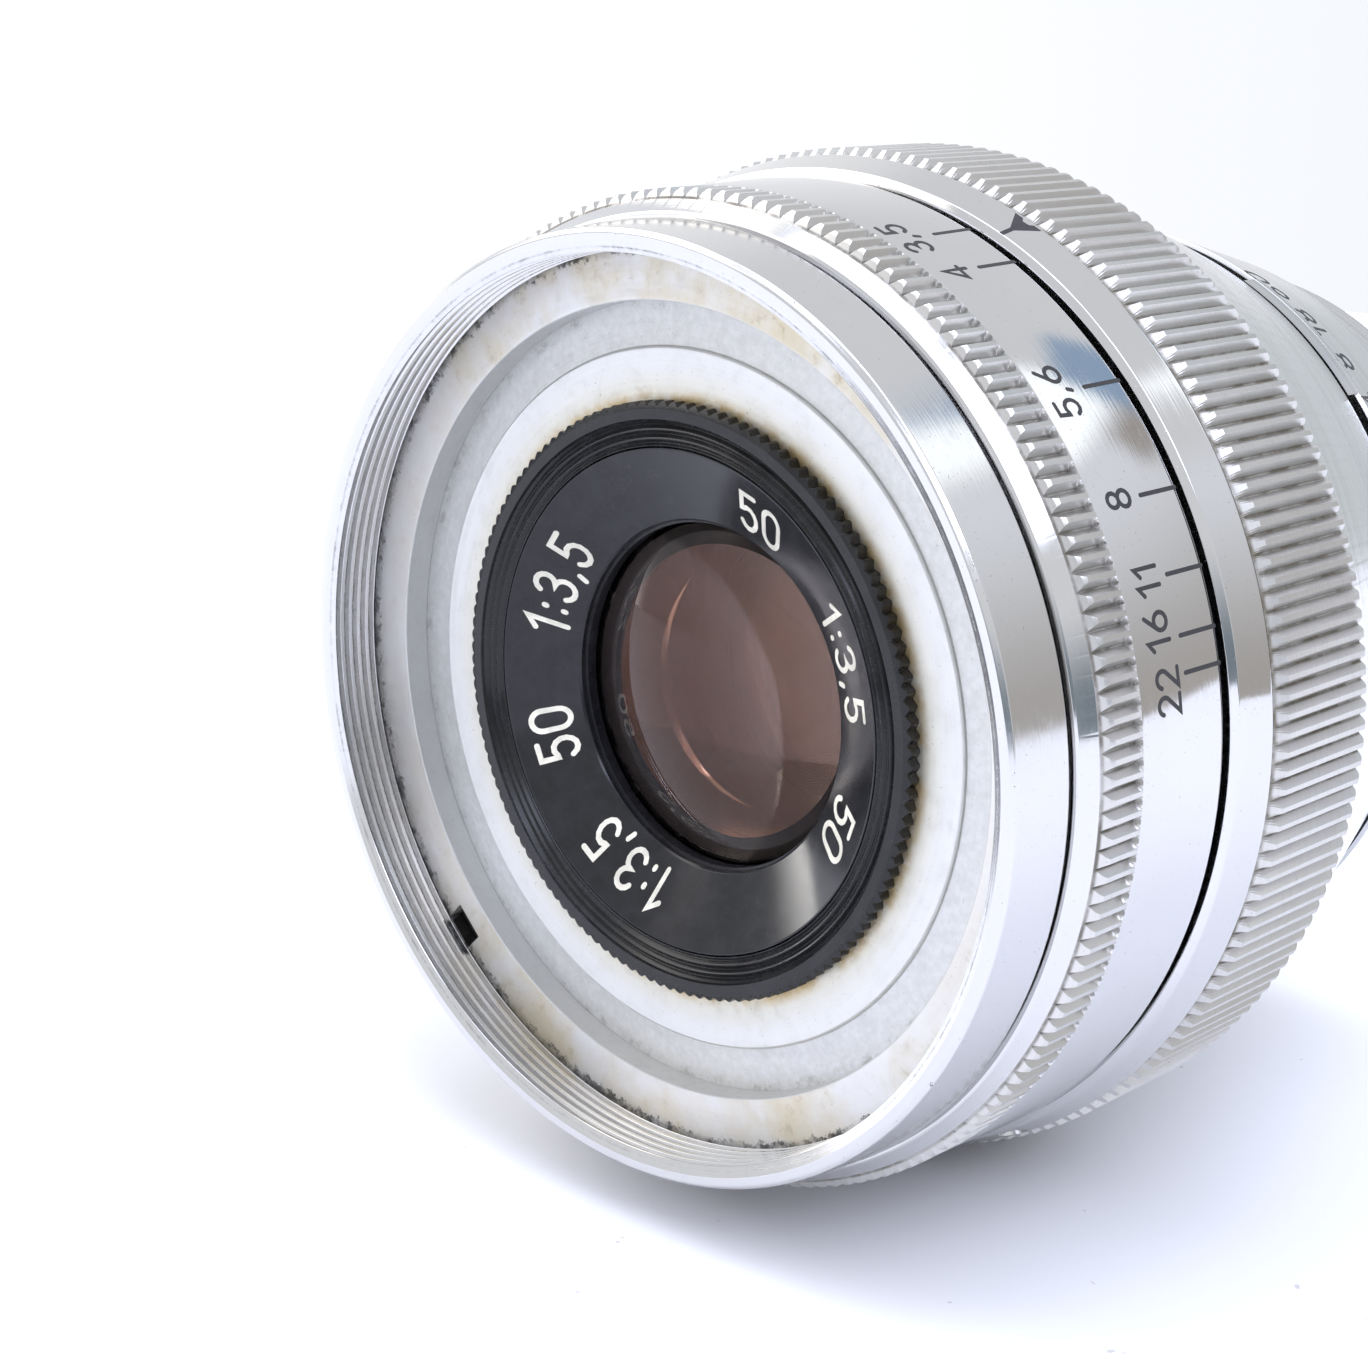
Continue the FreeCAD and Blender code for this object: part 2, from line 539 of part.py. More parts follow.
def focus_ring():
    """Fluted grip, long taper behind it, focusing bore inside and a lip that the retainer holds."""
    core = turned("focus_ring_turned", [
        ("sleeve_radius + run_gap", "focus_front"), ("flute_root - bevel", "focus_front"),
        ("flute_root", "focus_front + bevel"), ("flute_root", "flute_end"),
        ("taper_radius", "taper_end - bevel"), ("taper_radius - bevel", "taper_end"),
        ("journal_radius + run_gap", "taper_end"), ("journal_radius + run_gap", "lip_end"),
        ("lip_bore", "lip_end"), ("lip_bore", "lip_front"), ("sleeve_radius + run_gap", "lip_front")])
    bars = toothed_prism("focus_bars", FLUTES, "flute_tip + 0.1", "flute_root - 0.06",
                         "focus_front", "flute_end + 0.2", 0.12)
    limits = turned("focus_bar_limits", [
        ("flute_root - 0.6", "focus_front + 0.03"), ("flute_root - 0.05", "focus_front + 0.03"),
        ("flute_tip", "focus_front + 0.5"), ("flute_tip", "flute_end - 0.42"),
        ("flute_tip - 0.1", "flute_end - 0.18"), ("flute_tip - 0.3", "flute_end - 0.03"),
        ("flute_root - 0.05", "flute_end"), ("flute_root - 0.6", "flute_end")])
    ring = fuse("focus_ring_solid", core, common("focus_bars_trimmed", bars, limits))
    hole = rod("stop_pin_hole", "stop_pin_radius", "3", "stop_radius", "stop_pin_angle",
               "taper_end - 1.35", "along")
    return cut("focus_ring", ring, hole)


def focus_stops():
    """Pin in the focusing ring and screw in the number ring that it runs against."""
    return (rod("focus_stop_pin", "stop_pin_radius", "2", "stop_radius", "stop_pin_angle",
                "taper_end - 1.35", "along"),
            rod("focus_stop_screw", "stop_screw_radius", "2.2", "stop_radius", "stop_screw_angle",
                "taper_end + 0.2", "along"))


def rear_mount():
    """Guide barrel, flange and rear thread."""
    thread = grooves("flange_depth + 0.2", MOUNT_TURNS, "mount_pitch", "mount_major", "mount_minor")
    barrel = turned("rear_mount_turned", [
        ("mount_bore", "mount_front"), ("mount_neck", "mount_front"), ("mount_neck", "retainer_seat"),
        ("lip_bore - run_gap", "retainer_seat"), ("lip_bore - run_gap", "mount_shoulder"),
        ("journal_radius", "mount_shoulder"), ("journal_radius", "flange_front"),
        ("flange_radius", "flange_front"), ("flange_radius", "flange_depth - bevel"),
        ("flange_radius - bevel", "flange_depth"), ("mount_major", "flange_depth"), *thread,
        ("mount_major", "flange_depth + mount_length - 0.25"),
        ("mount_major - 0.25", "flange_depth + mount_length"),
        ("mount_bore", "flange_depth + mount_length")])
    slots = [block(f"mount_slot_{a}", "mount_bore - 1", "key_top", "key_width", "mount_front - 1",
                   "key_end", str(a)) for a in (90, 270)]
    sinks = [rod(f"number_sink_{a}", "0.8", "2", "journal_radius - 0.55", str(a),
                 "flange_front - 3.5", "outward") for a in NUMBER_SCREW_ANGLES]
    return cut("rear_mount", barrel, *slots, *sinks)


def guide_key():
    """Two keys fixed in the mount, on which the head slides without turning."""
    return fuse("guide_key", *[block(f"key_{a}", "mount_bore + 0.02", "key_top", "key_width",
                                     "key_front", "key_end", str(a)) for a in (90, 270)])


def number_ring():
    """Tapering ring with the distance numbers and a tab that reaches forward to stop the focusing."""
    ring = turned("number_ring_turned", [
        ("journal_radius + fit_gap", "number_front"), ("number_front_radius - 0.17", "number_front"),
        ("number_front_radius", "number_front + 0.15"), ("number_rear_radius", "flange_front - 0.15"),
        ("number_rear_radius - bevel", "flange_front"), ("journal_radius + fit_gap", "flange_front")])
    tab = sector("number_tab", "stop_radius - 0.9", "number_front_radius - 0.02", "tab_front",
                 "number_front + 0.5", "tab_start", "tab_arc")
    holes = [rod(f"number_hole_{a}", "0.8", "4", "journal_radius - 0.55", str(a), "flange_front - 3.5",
                 "outward") for a in NUMBER_SCREW_ANGLES]
    socket = rod("stop_screw_hole", "stop_screw_radius", "3", "stop_radius", "stop_screw_angle",
                 "taper_end - 0.6", "along")
    return cut("number_ring", fuse("number_ring_solid", ring, tab), socket, *holes)


def focus_retainer():
    """Ring on the neck of the mount that keeps the focusing ring from leaving forwards."""
    return tube("focus_retainer", "mount_neck + fit_gap", "sleeve_radius - 0.7", "mount_front + 0.3",
                "retainer_seat")


parts = [
    rear_mount(), number_ring(), guide_key(), focus_retainer(),
    grub_screws("number_ring_screw", NUMBER_SCREW_ANGLES, "0.8", "journal_radius - 0.55",
                "number_rear_radius + 0.5", "flange_front - 3.5"),
    focus_ring(), *focus_stops(),
    head_sleeve(), index_band(), iris_cover(), iris_plate(),
    grub_screws("index_band_screw", BAND_SCREW_ANGLES, "0.7", "band_bore - 1",
                "band_front_radius - 0.1", "band_end - 1"),
    front_barrel(), cup_retainer(), step_ring(), front_cell(), name_ring(),
    front_glass(), middle_glass(), *rear_glasses(), *cell_rings(), rear_cell(),
    aperture_ring(), aperture_drive_screw(), iris_cam_ring(),
    *[iris_blade(i) for i in range(BLADES)],
]
doc.recompute()

for item in doc.Objects:
    if "Invalid" in item.State or "Error" in item.State:
        raise RuntimeError(f"{item.Label} failed: {item.State}")
os.makedirs("parts", exist_ok=True)
for part in parts:
    if part.Shape.isNull() or not part.Shape.isValid():
        raise RuntimeError(f"{part.Label} has no valid shape")
    part.Shape.exportStep(f"parts/{part.Label}.step")
    print(part.Label, len(part.Shape.Solids), "solid", round(part.Shape.Volume, 2), "mm3")
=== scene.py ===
"""Looks of the chromed focusing lens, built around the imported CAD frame.

Sizes are millimetres here. A depth is the distance behind the front rim, along +Y. An angle is
in degrees round the lens axis, from +Z towards +X.
"""

import math
from collections import namedtuple

import bmesh
import bpy
import numpy as np
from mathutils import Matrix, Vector


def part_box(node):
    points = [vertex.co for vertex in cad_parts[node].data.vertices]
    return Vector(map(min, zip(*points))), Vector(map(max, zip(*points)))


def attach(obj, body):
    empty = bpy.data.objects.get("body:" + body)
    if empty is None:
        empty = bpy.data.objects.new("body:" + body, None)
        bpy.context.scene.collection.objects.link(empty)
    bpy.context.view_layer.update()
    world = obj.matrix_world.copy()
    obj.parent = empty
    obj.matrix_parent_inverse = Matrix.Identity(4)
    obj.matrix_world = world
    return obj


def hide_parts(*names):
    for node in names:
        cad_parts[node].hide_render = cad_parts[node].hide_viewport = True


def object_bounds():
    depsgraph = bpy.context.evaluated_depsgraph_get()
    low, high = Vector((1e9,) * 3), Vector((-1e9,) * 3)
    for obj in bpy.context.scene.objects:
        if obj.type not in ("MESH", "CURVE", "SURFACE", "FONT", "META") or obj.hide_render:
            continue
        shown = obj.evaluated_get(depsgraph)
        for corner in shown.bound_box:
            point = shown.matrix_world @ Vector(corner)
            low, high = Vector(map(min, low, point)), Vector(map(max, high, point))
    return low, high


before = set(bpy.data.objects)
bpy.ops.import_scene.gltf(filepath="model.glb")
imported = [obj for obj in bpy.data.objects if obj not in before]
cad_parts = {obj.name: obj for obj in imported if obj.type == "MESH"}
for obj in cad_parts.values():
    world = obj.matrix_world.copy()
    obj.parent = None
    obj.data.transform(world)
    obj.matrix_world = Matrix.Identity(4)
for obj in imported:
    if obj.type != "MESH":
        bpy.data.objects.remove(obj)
cad_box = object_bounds()

MM = 0.001
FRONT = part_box("front_barrel")[0][1] / MM
FLOOR_Z = cad_box[0][2]
THREAD_PITCH = 0.5
NOTCH_ANGLE = 45.6
SCREW_ANGLES = (150, 210, 270)
# distance of the end stop's pin and screw from the axis
STOP_REACH = 18.2
# height of an engraved mark's paint over its band, and its depth into it
INK = (0.010, 0.03)
# half of a knurl's groove floor as a share of its pitch
VALLEY_SHARE = 0.03
SHARP_TEETH, SHARP_TURNED, SHARP_CUT = math.radians(26), math.radians(32), math.radians(30)
CHROME = (0.64, 0.635, 0.635)


def between(x0, y0, x1, y1):
    """Straight line through two points as a function."""
    return lambda x: y0 + (y1 - y0) * (x - x0) / (x1 - x0)


# the black ring's depth at a radius, and the radius of each engraved band at a depth
name_depth = between(8.06, 5.19, 11.45, 3.43)
scale_radius = between(6.58, 22.42, 11.8, 22.62)
band_radius = between(12.62, 22.95, 14.32, 23.45)
number_radius = between(34.35, 19.42, 41.35, 17.72)


# ------------------------------------------------------------------------------ meshes

Teeth = namedtuple("Teeth", "count root first last crest")


def add_object(name, mesh, body, slot_name, *replaced):
    """Link a mesh as a piece of the lens."""
    piece = bpy.data.objects.new(name, mesh)
    bpy.context.scene.collection.objects.link(piece)
    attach(piece, body)
    if replaced:
        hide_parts(*replaced)
    return piece


def point_at(radius, depth, angle):
    """Position in metres of a point given by radius, depth and angle."""
    a = math.radians(angle)
    return (radius * math.sin(a) * MM, (FRONT + depth) * MM, radius * math.cos(a) * MM)


def rounded(corners, steps=2):
    """Closed outline of (radius, depth, rounding) corners with small arcs and support points."""
    outline = []
    count = len(corners)
    for i, (r, d, *rest) in enumerate(corners):
        want = rest[0] if rest else 0.03
        here = np.array((r, d), float)
        before = np.array(corners[i - 1][:2], float) - here
        after = np.array(corners[(i + 1) % count][:2], float) - here
        reach_before, reach_after = np.linalg.norm(before), np.linalg.norm(after)
        before, after = before / reach_before, after / reach_after
        turn = math.pi - math.acos(max(-1.0, min(1.0, float(before @ after))))
        if want <= 0 or turn < 0.02:
            outline.append((r, d))
            continue
        setback = min(want * math.tan(turn / 2), 0.42 * reach_before, 0.42 * reach_after)
        radius = setback / math.tan(turn / 2)
        start, end = here + before * setback, here + after * setback
        inward = before + after
        inward /= np.linalg.norm(inward)
        centre = here + inward * math.hypot(radius, setback)
        first, last = start - centre, end - centre
        angle = math.acos(max(-1.0, min(1.0, float(first @ last) / radius ** 2)))
        support = 0.6 * setback
        if reach_before > 4 * setback:
            outline.append(tuple(start + before * support))
        for k in range(steps + 1):
            t = k / steps
            way = (math.sin((1 - t) * angle) * first + math.sin(t * angle) * last) / math.sin(angle)
            outline.append(tuple(centre + way))
        if reach_after > 4 * setback:
            outline.append(tuple(end + after * support))
    return outline


def revolve(name, outline, columns=432, teeth=None):
    """Closed mesh turned about the lens axis.

    Teeth are V grooves, cut to a root radius into the outline between a first and a last depth.
    A crest takes its share of each tooth.
    """
    if teeth:
        angles, limit, tip = tooth_columns(outline, teeth)
        levels = [tip - (tip - teeth.root) * t for t in (1 / 3, 2 / 3)]
        outline = with_levels(outline, levels, teeth.first, teeth.last)
    else:
        angles = np.arange(columns) * 2 * math.pi / columns
    width, rows = len(angles), len(outline)
    r = np.array([p[0] for p in outline])[:, None] * np.ones(width)
    d = np.array([p[1] for p in outline])[:, None] * np.ones(width)
    toothed = np.zeros(rows, bool)
    if teeth:
        for i, (radius, depth) in enumerate(outline):
            if teeth.first <= depth <= teeth.last and radius > teeth.root:
                toothed[i] = True
                r[i] = np.minimum(r[i], limit)
    points = np.stack([r * np.sin(angles), d + FRONT, r * np.cos(angles)], axis=-1)
    points = points.reshape(-1, 3) * MM
    area = sum(outline[i - 1][0] * outline[i][1] - outline[i][0] * outline[i - 1][1] for i in range(rows))
    faces = []
    column = np.arange(width)
    after = (column + 1) % width
    for i in range(rows):
        k = (i + 1) % rows
        a, b = i * width + column, i * width + after
        c, e = k * width + after, k * width + column
        if toothed[i] or toothed[k]:
            main = (r[i] + r[k][after]) > (r[i][after] + r[k])
            first_half = np.where(main[:, None], np.stack([a, b, c], 1), np.stack([a, b, e], 1))
            second_half = np.where(main[:, None], np.stack([a, c, e], 1), np.stack([b, c, e], 1))
            faces += first_half.tolist() + second_half.tolist()
        else:
            faces += np.stack([a, b, c, e], 1).tolist()
    if area > 0:
        faces = [f[::-1] for f in faces]
    mesh = bpy.data.meshes.new(name)
    mesh.from_pydata(points.tolist(), [], faces)
    mesh.validate()
    mesh.shade_smooth()
    mesh.set_sharp_from_angle(angle=SHARP_TEETH if teeth else SHARP_TURNED)
    return mesh


def tooth_columns(outline, teeth):
    """Angle of each column round a toothed ring, the radius it is cut to, and the tip radius."""
    count, root = teeth.count, teeth.root
    tip = max(r for r, d in outline if teeth.first <= d <= teeth.last)
    half = teeth.crest / 2
    flank = [half + (0.5 - VALLEY_SHARE - half) * t for t in (0, 1 / 3, 2 / 3, 1)]
    shares = [0.0] + flank + [1 - s for s in reversed(flank)]
    heights = [tip] + [tip - (tip - root) * t for t in (0, 1 / 3, 2 / 3, 1, 1, 2 / 3, 1 / 3, 0)]
    angles = np.array([(i + s) / count for i in range(count) for s in shares]) * 2 * math.pi
    return angles, np.array(heights * count), tip


def with_levels(outline, levels, first, last):
    """The outline with extra points where it crosses each radius between two depths."""
    out = []
    for i, (r0, d0) in enumerate(outline):
        out.append((r0, d0))
        r1, d1 = outline[(i + 1) % len(outline)]
        if not (first <= d0 <= last and first <= d1 <= last):
            continue
        crossed = [v for v in levels if min(r0, r1) + 0.004 < v < max(r0, r1) - 0.004]
        for v in sorted(crossed, reverse=bool(r1 < r0)):
            t = (v - r0) / (r1 - r0)
            out.append((v, d0 + (d1 - d0) * t))
    return out


def hole_mesh(radius, start, end, angle, depth, sides=40):
    """A closed cylinder that points out from the axis, for cutting."""
    a = math.radians(angle)
    out, side = Vector((math.sin(a), 0, math.cos(a))), Vector((0, 1, 0))
    up = out.cross(side)
    centre = Vector((0, (FRONT + depth) * MM, 0))
    points = []
    for reach in (start, end):
        for i in range(sides):
            t = 2 * math.pi * i / sides
            offset = side * math.cos(t) + up * math.sin(t)
            points.append(centre + out * reach * MM + offset * radius * MM)
    faces = [tuple(range(sides)), tuple(reversed(range(sides, 2 * sides)))]
    faces += [(i, sides + i, sides + (i + 1) % sides, (i + 1) % sides) for i in range(sides)]
    return new_mesh("cutter", points, faces)


def axial_hole(radius, reach, angle, front, back, sides=32):
    """A closed cylinder along the lens axis, for cutting."""
    a = math.radians(angle)
    centre = Vector((reach * math.sin(a), 0, reach * math.cos(a))) * MM
    points = []
    for depth in (front, back):
        for i in range(sides):
            t = 2 * math.pi * i / sides
            points.append(centre + Vector((radius * math.cos(t), FRONT + depth, radius * math.sin(t))) * MM)
    faces = [tuple(range(sides)), tuple(range(sides, 2 * sides))]
    faces += [(i, sides + i, sides + (i + 1) % sides, (i + 1) % sides) for i in range(sides)]
    return new_mesh("cutter", points, faces)


def block_mesh(inner, outer, width, front, back, angle):
    """A closed box at an angle round the axis, for cutting."""
    a = math.radians(angle)
    out, side = Vector((math.sin(a), 0, math.cos(a))), Vector((math.cos(a), 0, -math.sin(a)))
    points = []
    for reach in (inner, outer):
        for across, depth in ((-1, front), (1, front), (1, back), (-1, back)):
            point = out * reach + side * across * width / 2 + Vector((0, FRONT + depth, 0))
            points.append(point * MM)
    faces = [(0, 1, 2, 3), (7, 6, 5, 4), (0, 4, 5, 1), (1, 5, 6, 2), (2, 6, 7, 3), (3, 7, 4, 0)]
    return new_mesh("cutter", points, faces)


def sector_mesh(inner, outer, front, back, start, arc, steps=48):
    """A closed piece of a ring, for cutting or adding."""
    points, faces = [], []
    for i in range(steps + 1):
        angle = start + arc * i / steps
        points += [point_at(r, d, angle) for r, d in
                   ((inner, front), (outer, front), (outer, back), (inner, back))]
    for i in range(steps):
        for k in range(4):
            a, b = 4 * i + k, 4 * i + (k + 1) % 4
            faces.append((a, b, b + 4, a + 4))
    faces += [(3, 2, 1, 0), tuple(4 * steps + k for k in range(4))]
    return new_mesh("cutter", points, faces)


def new_mesh(name, points, faces):
    """Mesh from points and faces with its normals pointing out."""
    mesh = bpy.data.meshes.new(name)
    mesh.from_pydata([tuple(p) for p in points], [], faces)
    work = bmesh.new()
    work.from_mesh(mesh)
    bmesh.ops.recalc_face_normals(work, faces=work.faces)
    work.to_mesh(mesh)
    work.free()
    return mesh


def combine(piece, mesh, operation):
    """Change a piece by a closed mesh, which is then dropped."""
    other = bpy.data.objects.new("other", mesh)
    bpy.context.scene.collection.objects.link(other)
    modifier = piece.modifiers.new("combine", "BOOLEAN")
    modifier.operation = operation
    modifier.solver = "MANIFOLD"
    modifier.object = other
    graph = bpy.context.evaluated_depsgraph_get()
    result = bpy.data.meshes.new_from_object(piece.evaluated_get(graph))
    piece.modifiers.clear()
    old, piece.data = piece.data, result
    bpy.data.meshes.remove(old)
    bpy.data.objects.remove(other)
    bpy.data.meshes.remove(mesh)


def cut_with(piece, *meshes):
    """Subtract closed meshes from a piece and keep its shading."""
    for mesh in meshes:
        combine(piece, mesh, "DIFFERENCE")
    piece.data.set_sharp_from_angle(angle=SHARP_CUT)


def grooves(first, turns, crest, root):
    """Outline corners of a thread's grooves, with their rounding."""
    points = []
    for i in range(turns):
        start = first + i * THREAD_PITCH
        for radius, offset in ((crest, 0.11), (root, 0.25), (root, 0.29), (crest, 0.43)):
            points.append((radius, start + offset, 0.02))
    return points


# ------------------------------------------------------------------------- stroke digits

def arc(cx, cy, rx, ry, start, end, steps=10):
    """Points of an ellipse's arc, angles in degrees from the right, counter-clockwise."""
    angles = [math.radians(start + (end - start) * i / steps) for i in range(steps + 1)]
    return [(cx + rx * math.cos(a), cy + ry * math.sin(a)) for a in angles]


# width of each digit and its pen strokes, for a height of one
GLYPHS = {
    "0": (0.52, [arc(0.26, 0.72, 0.26, 0.28, 0, 180) + arc(0.26, 0.28, 0.26, 0.28, 180, 360)
                 + [(0.52, 0.72)]]),
    "1": (0.30, [[(0.0, 0.78), (0.24, 1.0), (0.24, 0.0)]]),
    "2": (0.52, [arc(0.26, 0.73, 0.25, 0.27, 165, -35) + [(0.0, 0.0), (0.52, 0.0)]]),
    "3": (0.50, [arc(0.24, 0.76, 0.23, 0.24, 160, -90) + arc(0.24, 0.27, 0.26, 0.27, 90, -160)[1:]]),
    "4": (0.56, [[(0.42, 0.0), (0.42, 1.0), (0.0, 0.28), (0.56, 0.28)]]),
    "5": (0.50, [[(0.46, 1.0), (0.06, 1.0), (0.03, 0.56)] + arc(0.24, 0.31, 0.26, 0.31, 125, -155)]),
    "6": (0.52, [[(0.42, 1.0), (0.05, 0.46)] + arc(0.26, 0.29, 0.26, 0.29, 150, 510, 16)]),
    "8": (0.50, [arc(0.25, 0.76, 0.22, 0.24, -90, 270, 14), arc(0.25, 0.26, 0.25, 0.26, 90, 450, 14)]),
    ",": (0.14, [[(0.09, 0.06), (0.03, -0.12)]]),
    ":": (0.14, [[(0.07, 0.12), (0.07, 0.17)], [(0.07, 0.60), (0.07, 0.65)]]),
}


def strokes(text, height, gap):
    """Polylines of a number, centred on its middle, in millimetres. The gap is a share of its height."""
    x, lines = 0.0, []
    for digit in text:
        width, glyph = GLYPHS[digit]
        lines += [[((x + px) * height, (py - 0.5) * height) for px, py in line] for line in glyph]
        x += width + gap
    middle = (x - gap) * height / 2
    return [[(px - middle, py) for px, py in line] for line in lines]


def ribbon(line, width):
    """Left and right edge of a polyline drawn with a pen, and its own points."""
    pts = [np.array(p, float) for p in line]
    left, right = [], []
    for i, p in enumerate(pts):
        ahead = pts[min(i + 1, len(pts) - 1)] - pts[max(i - 1, 0)]
        if 0 < i < len(pts) - 1:
            u = (pts[i] - pts[i - 1]) / np.linalg.norm(pts[i] - pts[i - 1])
            v = (pts[i + 1] - pts[i]) / np.linalg.norm(pts[i + 1] - pts[i])
            ahead = u + v
            stretch = 1 / max(0.45, math.sqrt(max(0.0, (1 + float(u @ v)) / 2)))
        else:
            stretch = 1.0
        ahead = ahead / np.linalg.norm(ahead)
        normal = np.array((-ahead[1], ahead[0])) * width / 2 * stretch
        left.append(p + normal)
        right.append(p - normal)
    return left, right, pts


def cap(points, faces, centre, back, radius, place, rise, sink, steps=7):
    """Half-round end of a pen stroke."""
    way = np.array(centre) - np.array(back)
    start = math.atan2(way[1], way[0]) - math.pi / 2
    base = len(points)
    for level in (rise, -sink):
        for i in range(steps + 1):
            t = start + math.pi * i / steps
            points.append(place(centre[0] + radius * math.cos(t), centre[1] + radius * math.sin(t), level))
    n = steps + 1
    faces.append(tuple(range(base, base + n)))
    faces.append(tuple(reversed(range(base + n, base + 2 * n))))
    faces += [(base + i, base + (i + 1) % n, base + n + (i + 1) % n, base + n + i) for i in range(n)]


def stroke_into(points, faces, line, width, place, rise, sink):
    """Add one pen stroke to lists of points and faces."""
    left, right, pts = ribbon(line, width)
    base, count = len(points), len(pts)
    for level in (rise, -sink):
        for a, b in zip(left, right):
            points += [place(a[0], a[1], level), place(b[0], b[1], level)]
    low = base + 2 * count
    for i in range(count - 1):
        a, b = base + 2 * i, low + 2 * i
        faces += [(a, a + 1, a + 3, a + 2), (b + 2, b + 3, b + 1, b), (a + 2, b + 2, b, a),
                  (a + 1, b + 1, b + 3, a + 3)]
    e, f = base + 2 * (count - 1), low + 2 * (count - 1)
    faces += [(base, low, low + 1, base + 1), (e + 1, f + 1, f, e)]
    for centre, back in ((pts[0], pts[1]), (pts[-1], pts[-2])):
        cap(points, faces, centre, back, width / 2, place, rise, sink)


def round_band(angle, depth, radius_of):
    """Place text on a band: tops to the front, reading towards smaller angles."""
    def place(u, v, rise):
        d = depth - v
        r = radius_of(d) + rise
        return point_at(r, d, angle - math.degrees(u / r))
    return place


# ------------------------------------------------------------------------------- shaders

class Shader:
    """A material's node tree with short ways to add to it."""

    def __init__(self, tree):
        self.tree = tree
        self.tree.nodes.clear()

    def node(self, kind, **sockets):
        """New node; an underscore in a socket's name stands for a space."""
        item = self.tree.nodes.new(kind)
        for key, value in sockets.items():
            self.put(item.inputs[key.replace("_", " ")], value)
        return item

    def put(self, socket, value):
        """Link a socket to another one, or set its value."""
        if isinstance(value, bpy.types.NodeSocket):
            self.tree.links.new(value, socket)
        else:
            socket.default_value = value

    def math(self, operation, *values):
        """Result of a math node."""
        item = self.tree.nodes.new("ShaderNodeMath")
        item.operation = operation
        for socket, value in zip(item.inputs, values):
            self.put(socket, value)
        return item.outputs[0]

    def mix(self, factor, a, b):
        """Colour between a, at a factor of 0, and b, at 1."""
        item = self.tree.nodes.new("ShaderNodeMix")
        item.data_type = "RGBA"
        self.put(item.inputs[0], factor)
        self.put(item.inputs[6], a)
        self.put(item.inputs[7], b)
        return item.outputs[2]

    def step(self, value, low, high, out_low=0.0, out_high=1.0):
        """Smooth change from out_low to out_high as value goes from low to high."""
        item = self.tree.nodes.new("ShaderNodeMapRange")
        item.interpolation_type = "SMOOTHSTEP"
        for socket, number in zip(item.inputs, (value, low, high, out_low, out_high)):
            self.put(socket, number)
        return item.outputs[0]

    def window(self, value, low, high, soft):
        """One between low and high, zero outside."""
        rise = self.step(value, low - soft, low + soft)
        fall = self.step(value, high - soft, high + soft, 1.0, 0.0)
        return self.math("MULTIPLY", rise, fall)

    def noise(self, vector, scale, detail, roughness):
        """Noise from 0 to 1; with a vector in millimetres the scale is in waves a millimetre."""
        item = self.node("ShaderNodeTexNoise", Vector=vector, Scale=scale, Detail=detail,
                         Roughness=roughness)
        return item.outputs[0]

    def combine(self, x, y, z):
        """Vector of three values."""
        return self.node("ShaderNodeCombineXYZ", X=x, Y=y, Z=z).outputs[0]


def rgba(colour):
    """The colour with full alpha."""
    return (*colour, 1.0)


Space = namedtuple("Space", "x z radius depth vector")


def lens_space(s):
    """Position on the lens in millimetres."""
    place = s.node("ShaderNodeTexCoord").outputs["Object"]
    parts = s.node("ShaderNodeSeparateXYZ", Vector=place)
    x = s.math("MULTIPLY", parts.outputs[0], 1000.0)
    z = s.math("MULTIPLY", parts.outputs[2], 1000.0)
    depth = s.math("SUBTRACT", s.math("MULTIPLY", parts.outputs[1], 1000.0), FRONT)
    squared = s.math("ADD", s.math("MULTIPLY", x, x), s.math("MULTIPLY", z, z))
    radius = s.math("SQRT", squared)
    return Space(x, z, radius, depth, s.combine(x, depth, z))


def turning(s, space, per_mm):
    """Fine lines that run round the axis, changing slowly along them."""
    drift = 0.05
    along = s.math("ADD", space.depth, s.math("MULTIPLY", space.radius, 1.31))
    across = s.math("MULTIPLY", along, per_mm)
    around = s.combine(s.math("MULTIPLY", space.x, drift), across, s.math("MULTIPLY", space.z, drift))
    return s.noise(around, 1.0, 4.0, 0.6)


def new_material(name):
    """An empty Principled material: the material, its tree and its shader."""
    material = bpy.data.materials.new(name)
    material.use_nodes = True
    s = Shader(material.node_tree)
    shader = s.node("ShaderNodeBsdfPrincipled")
    output = s.node("ShaderNodeOutputMaterial")
    s.tree.links.new(shader.outputs[0], output.inputs[0])
    return material, s, shader


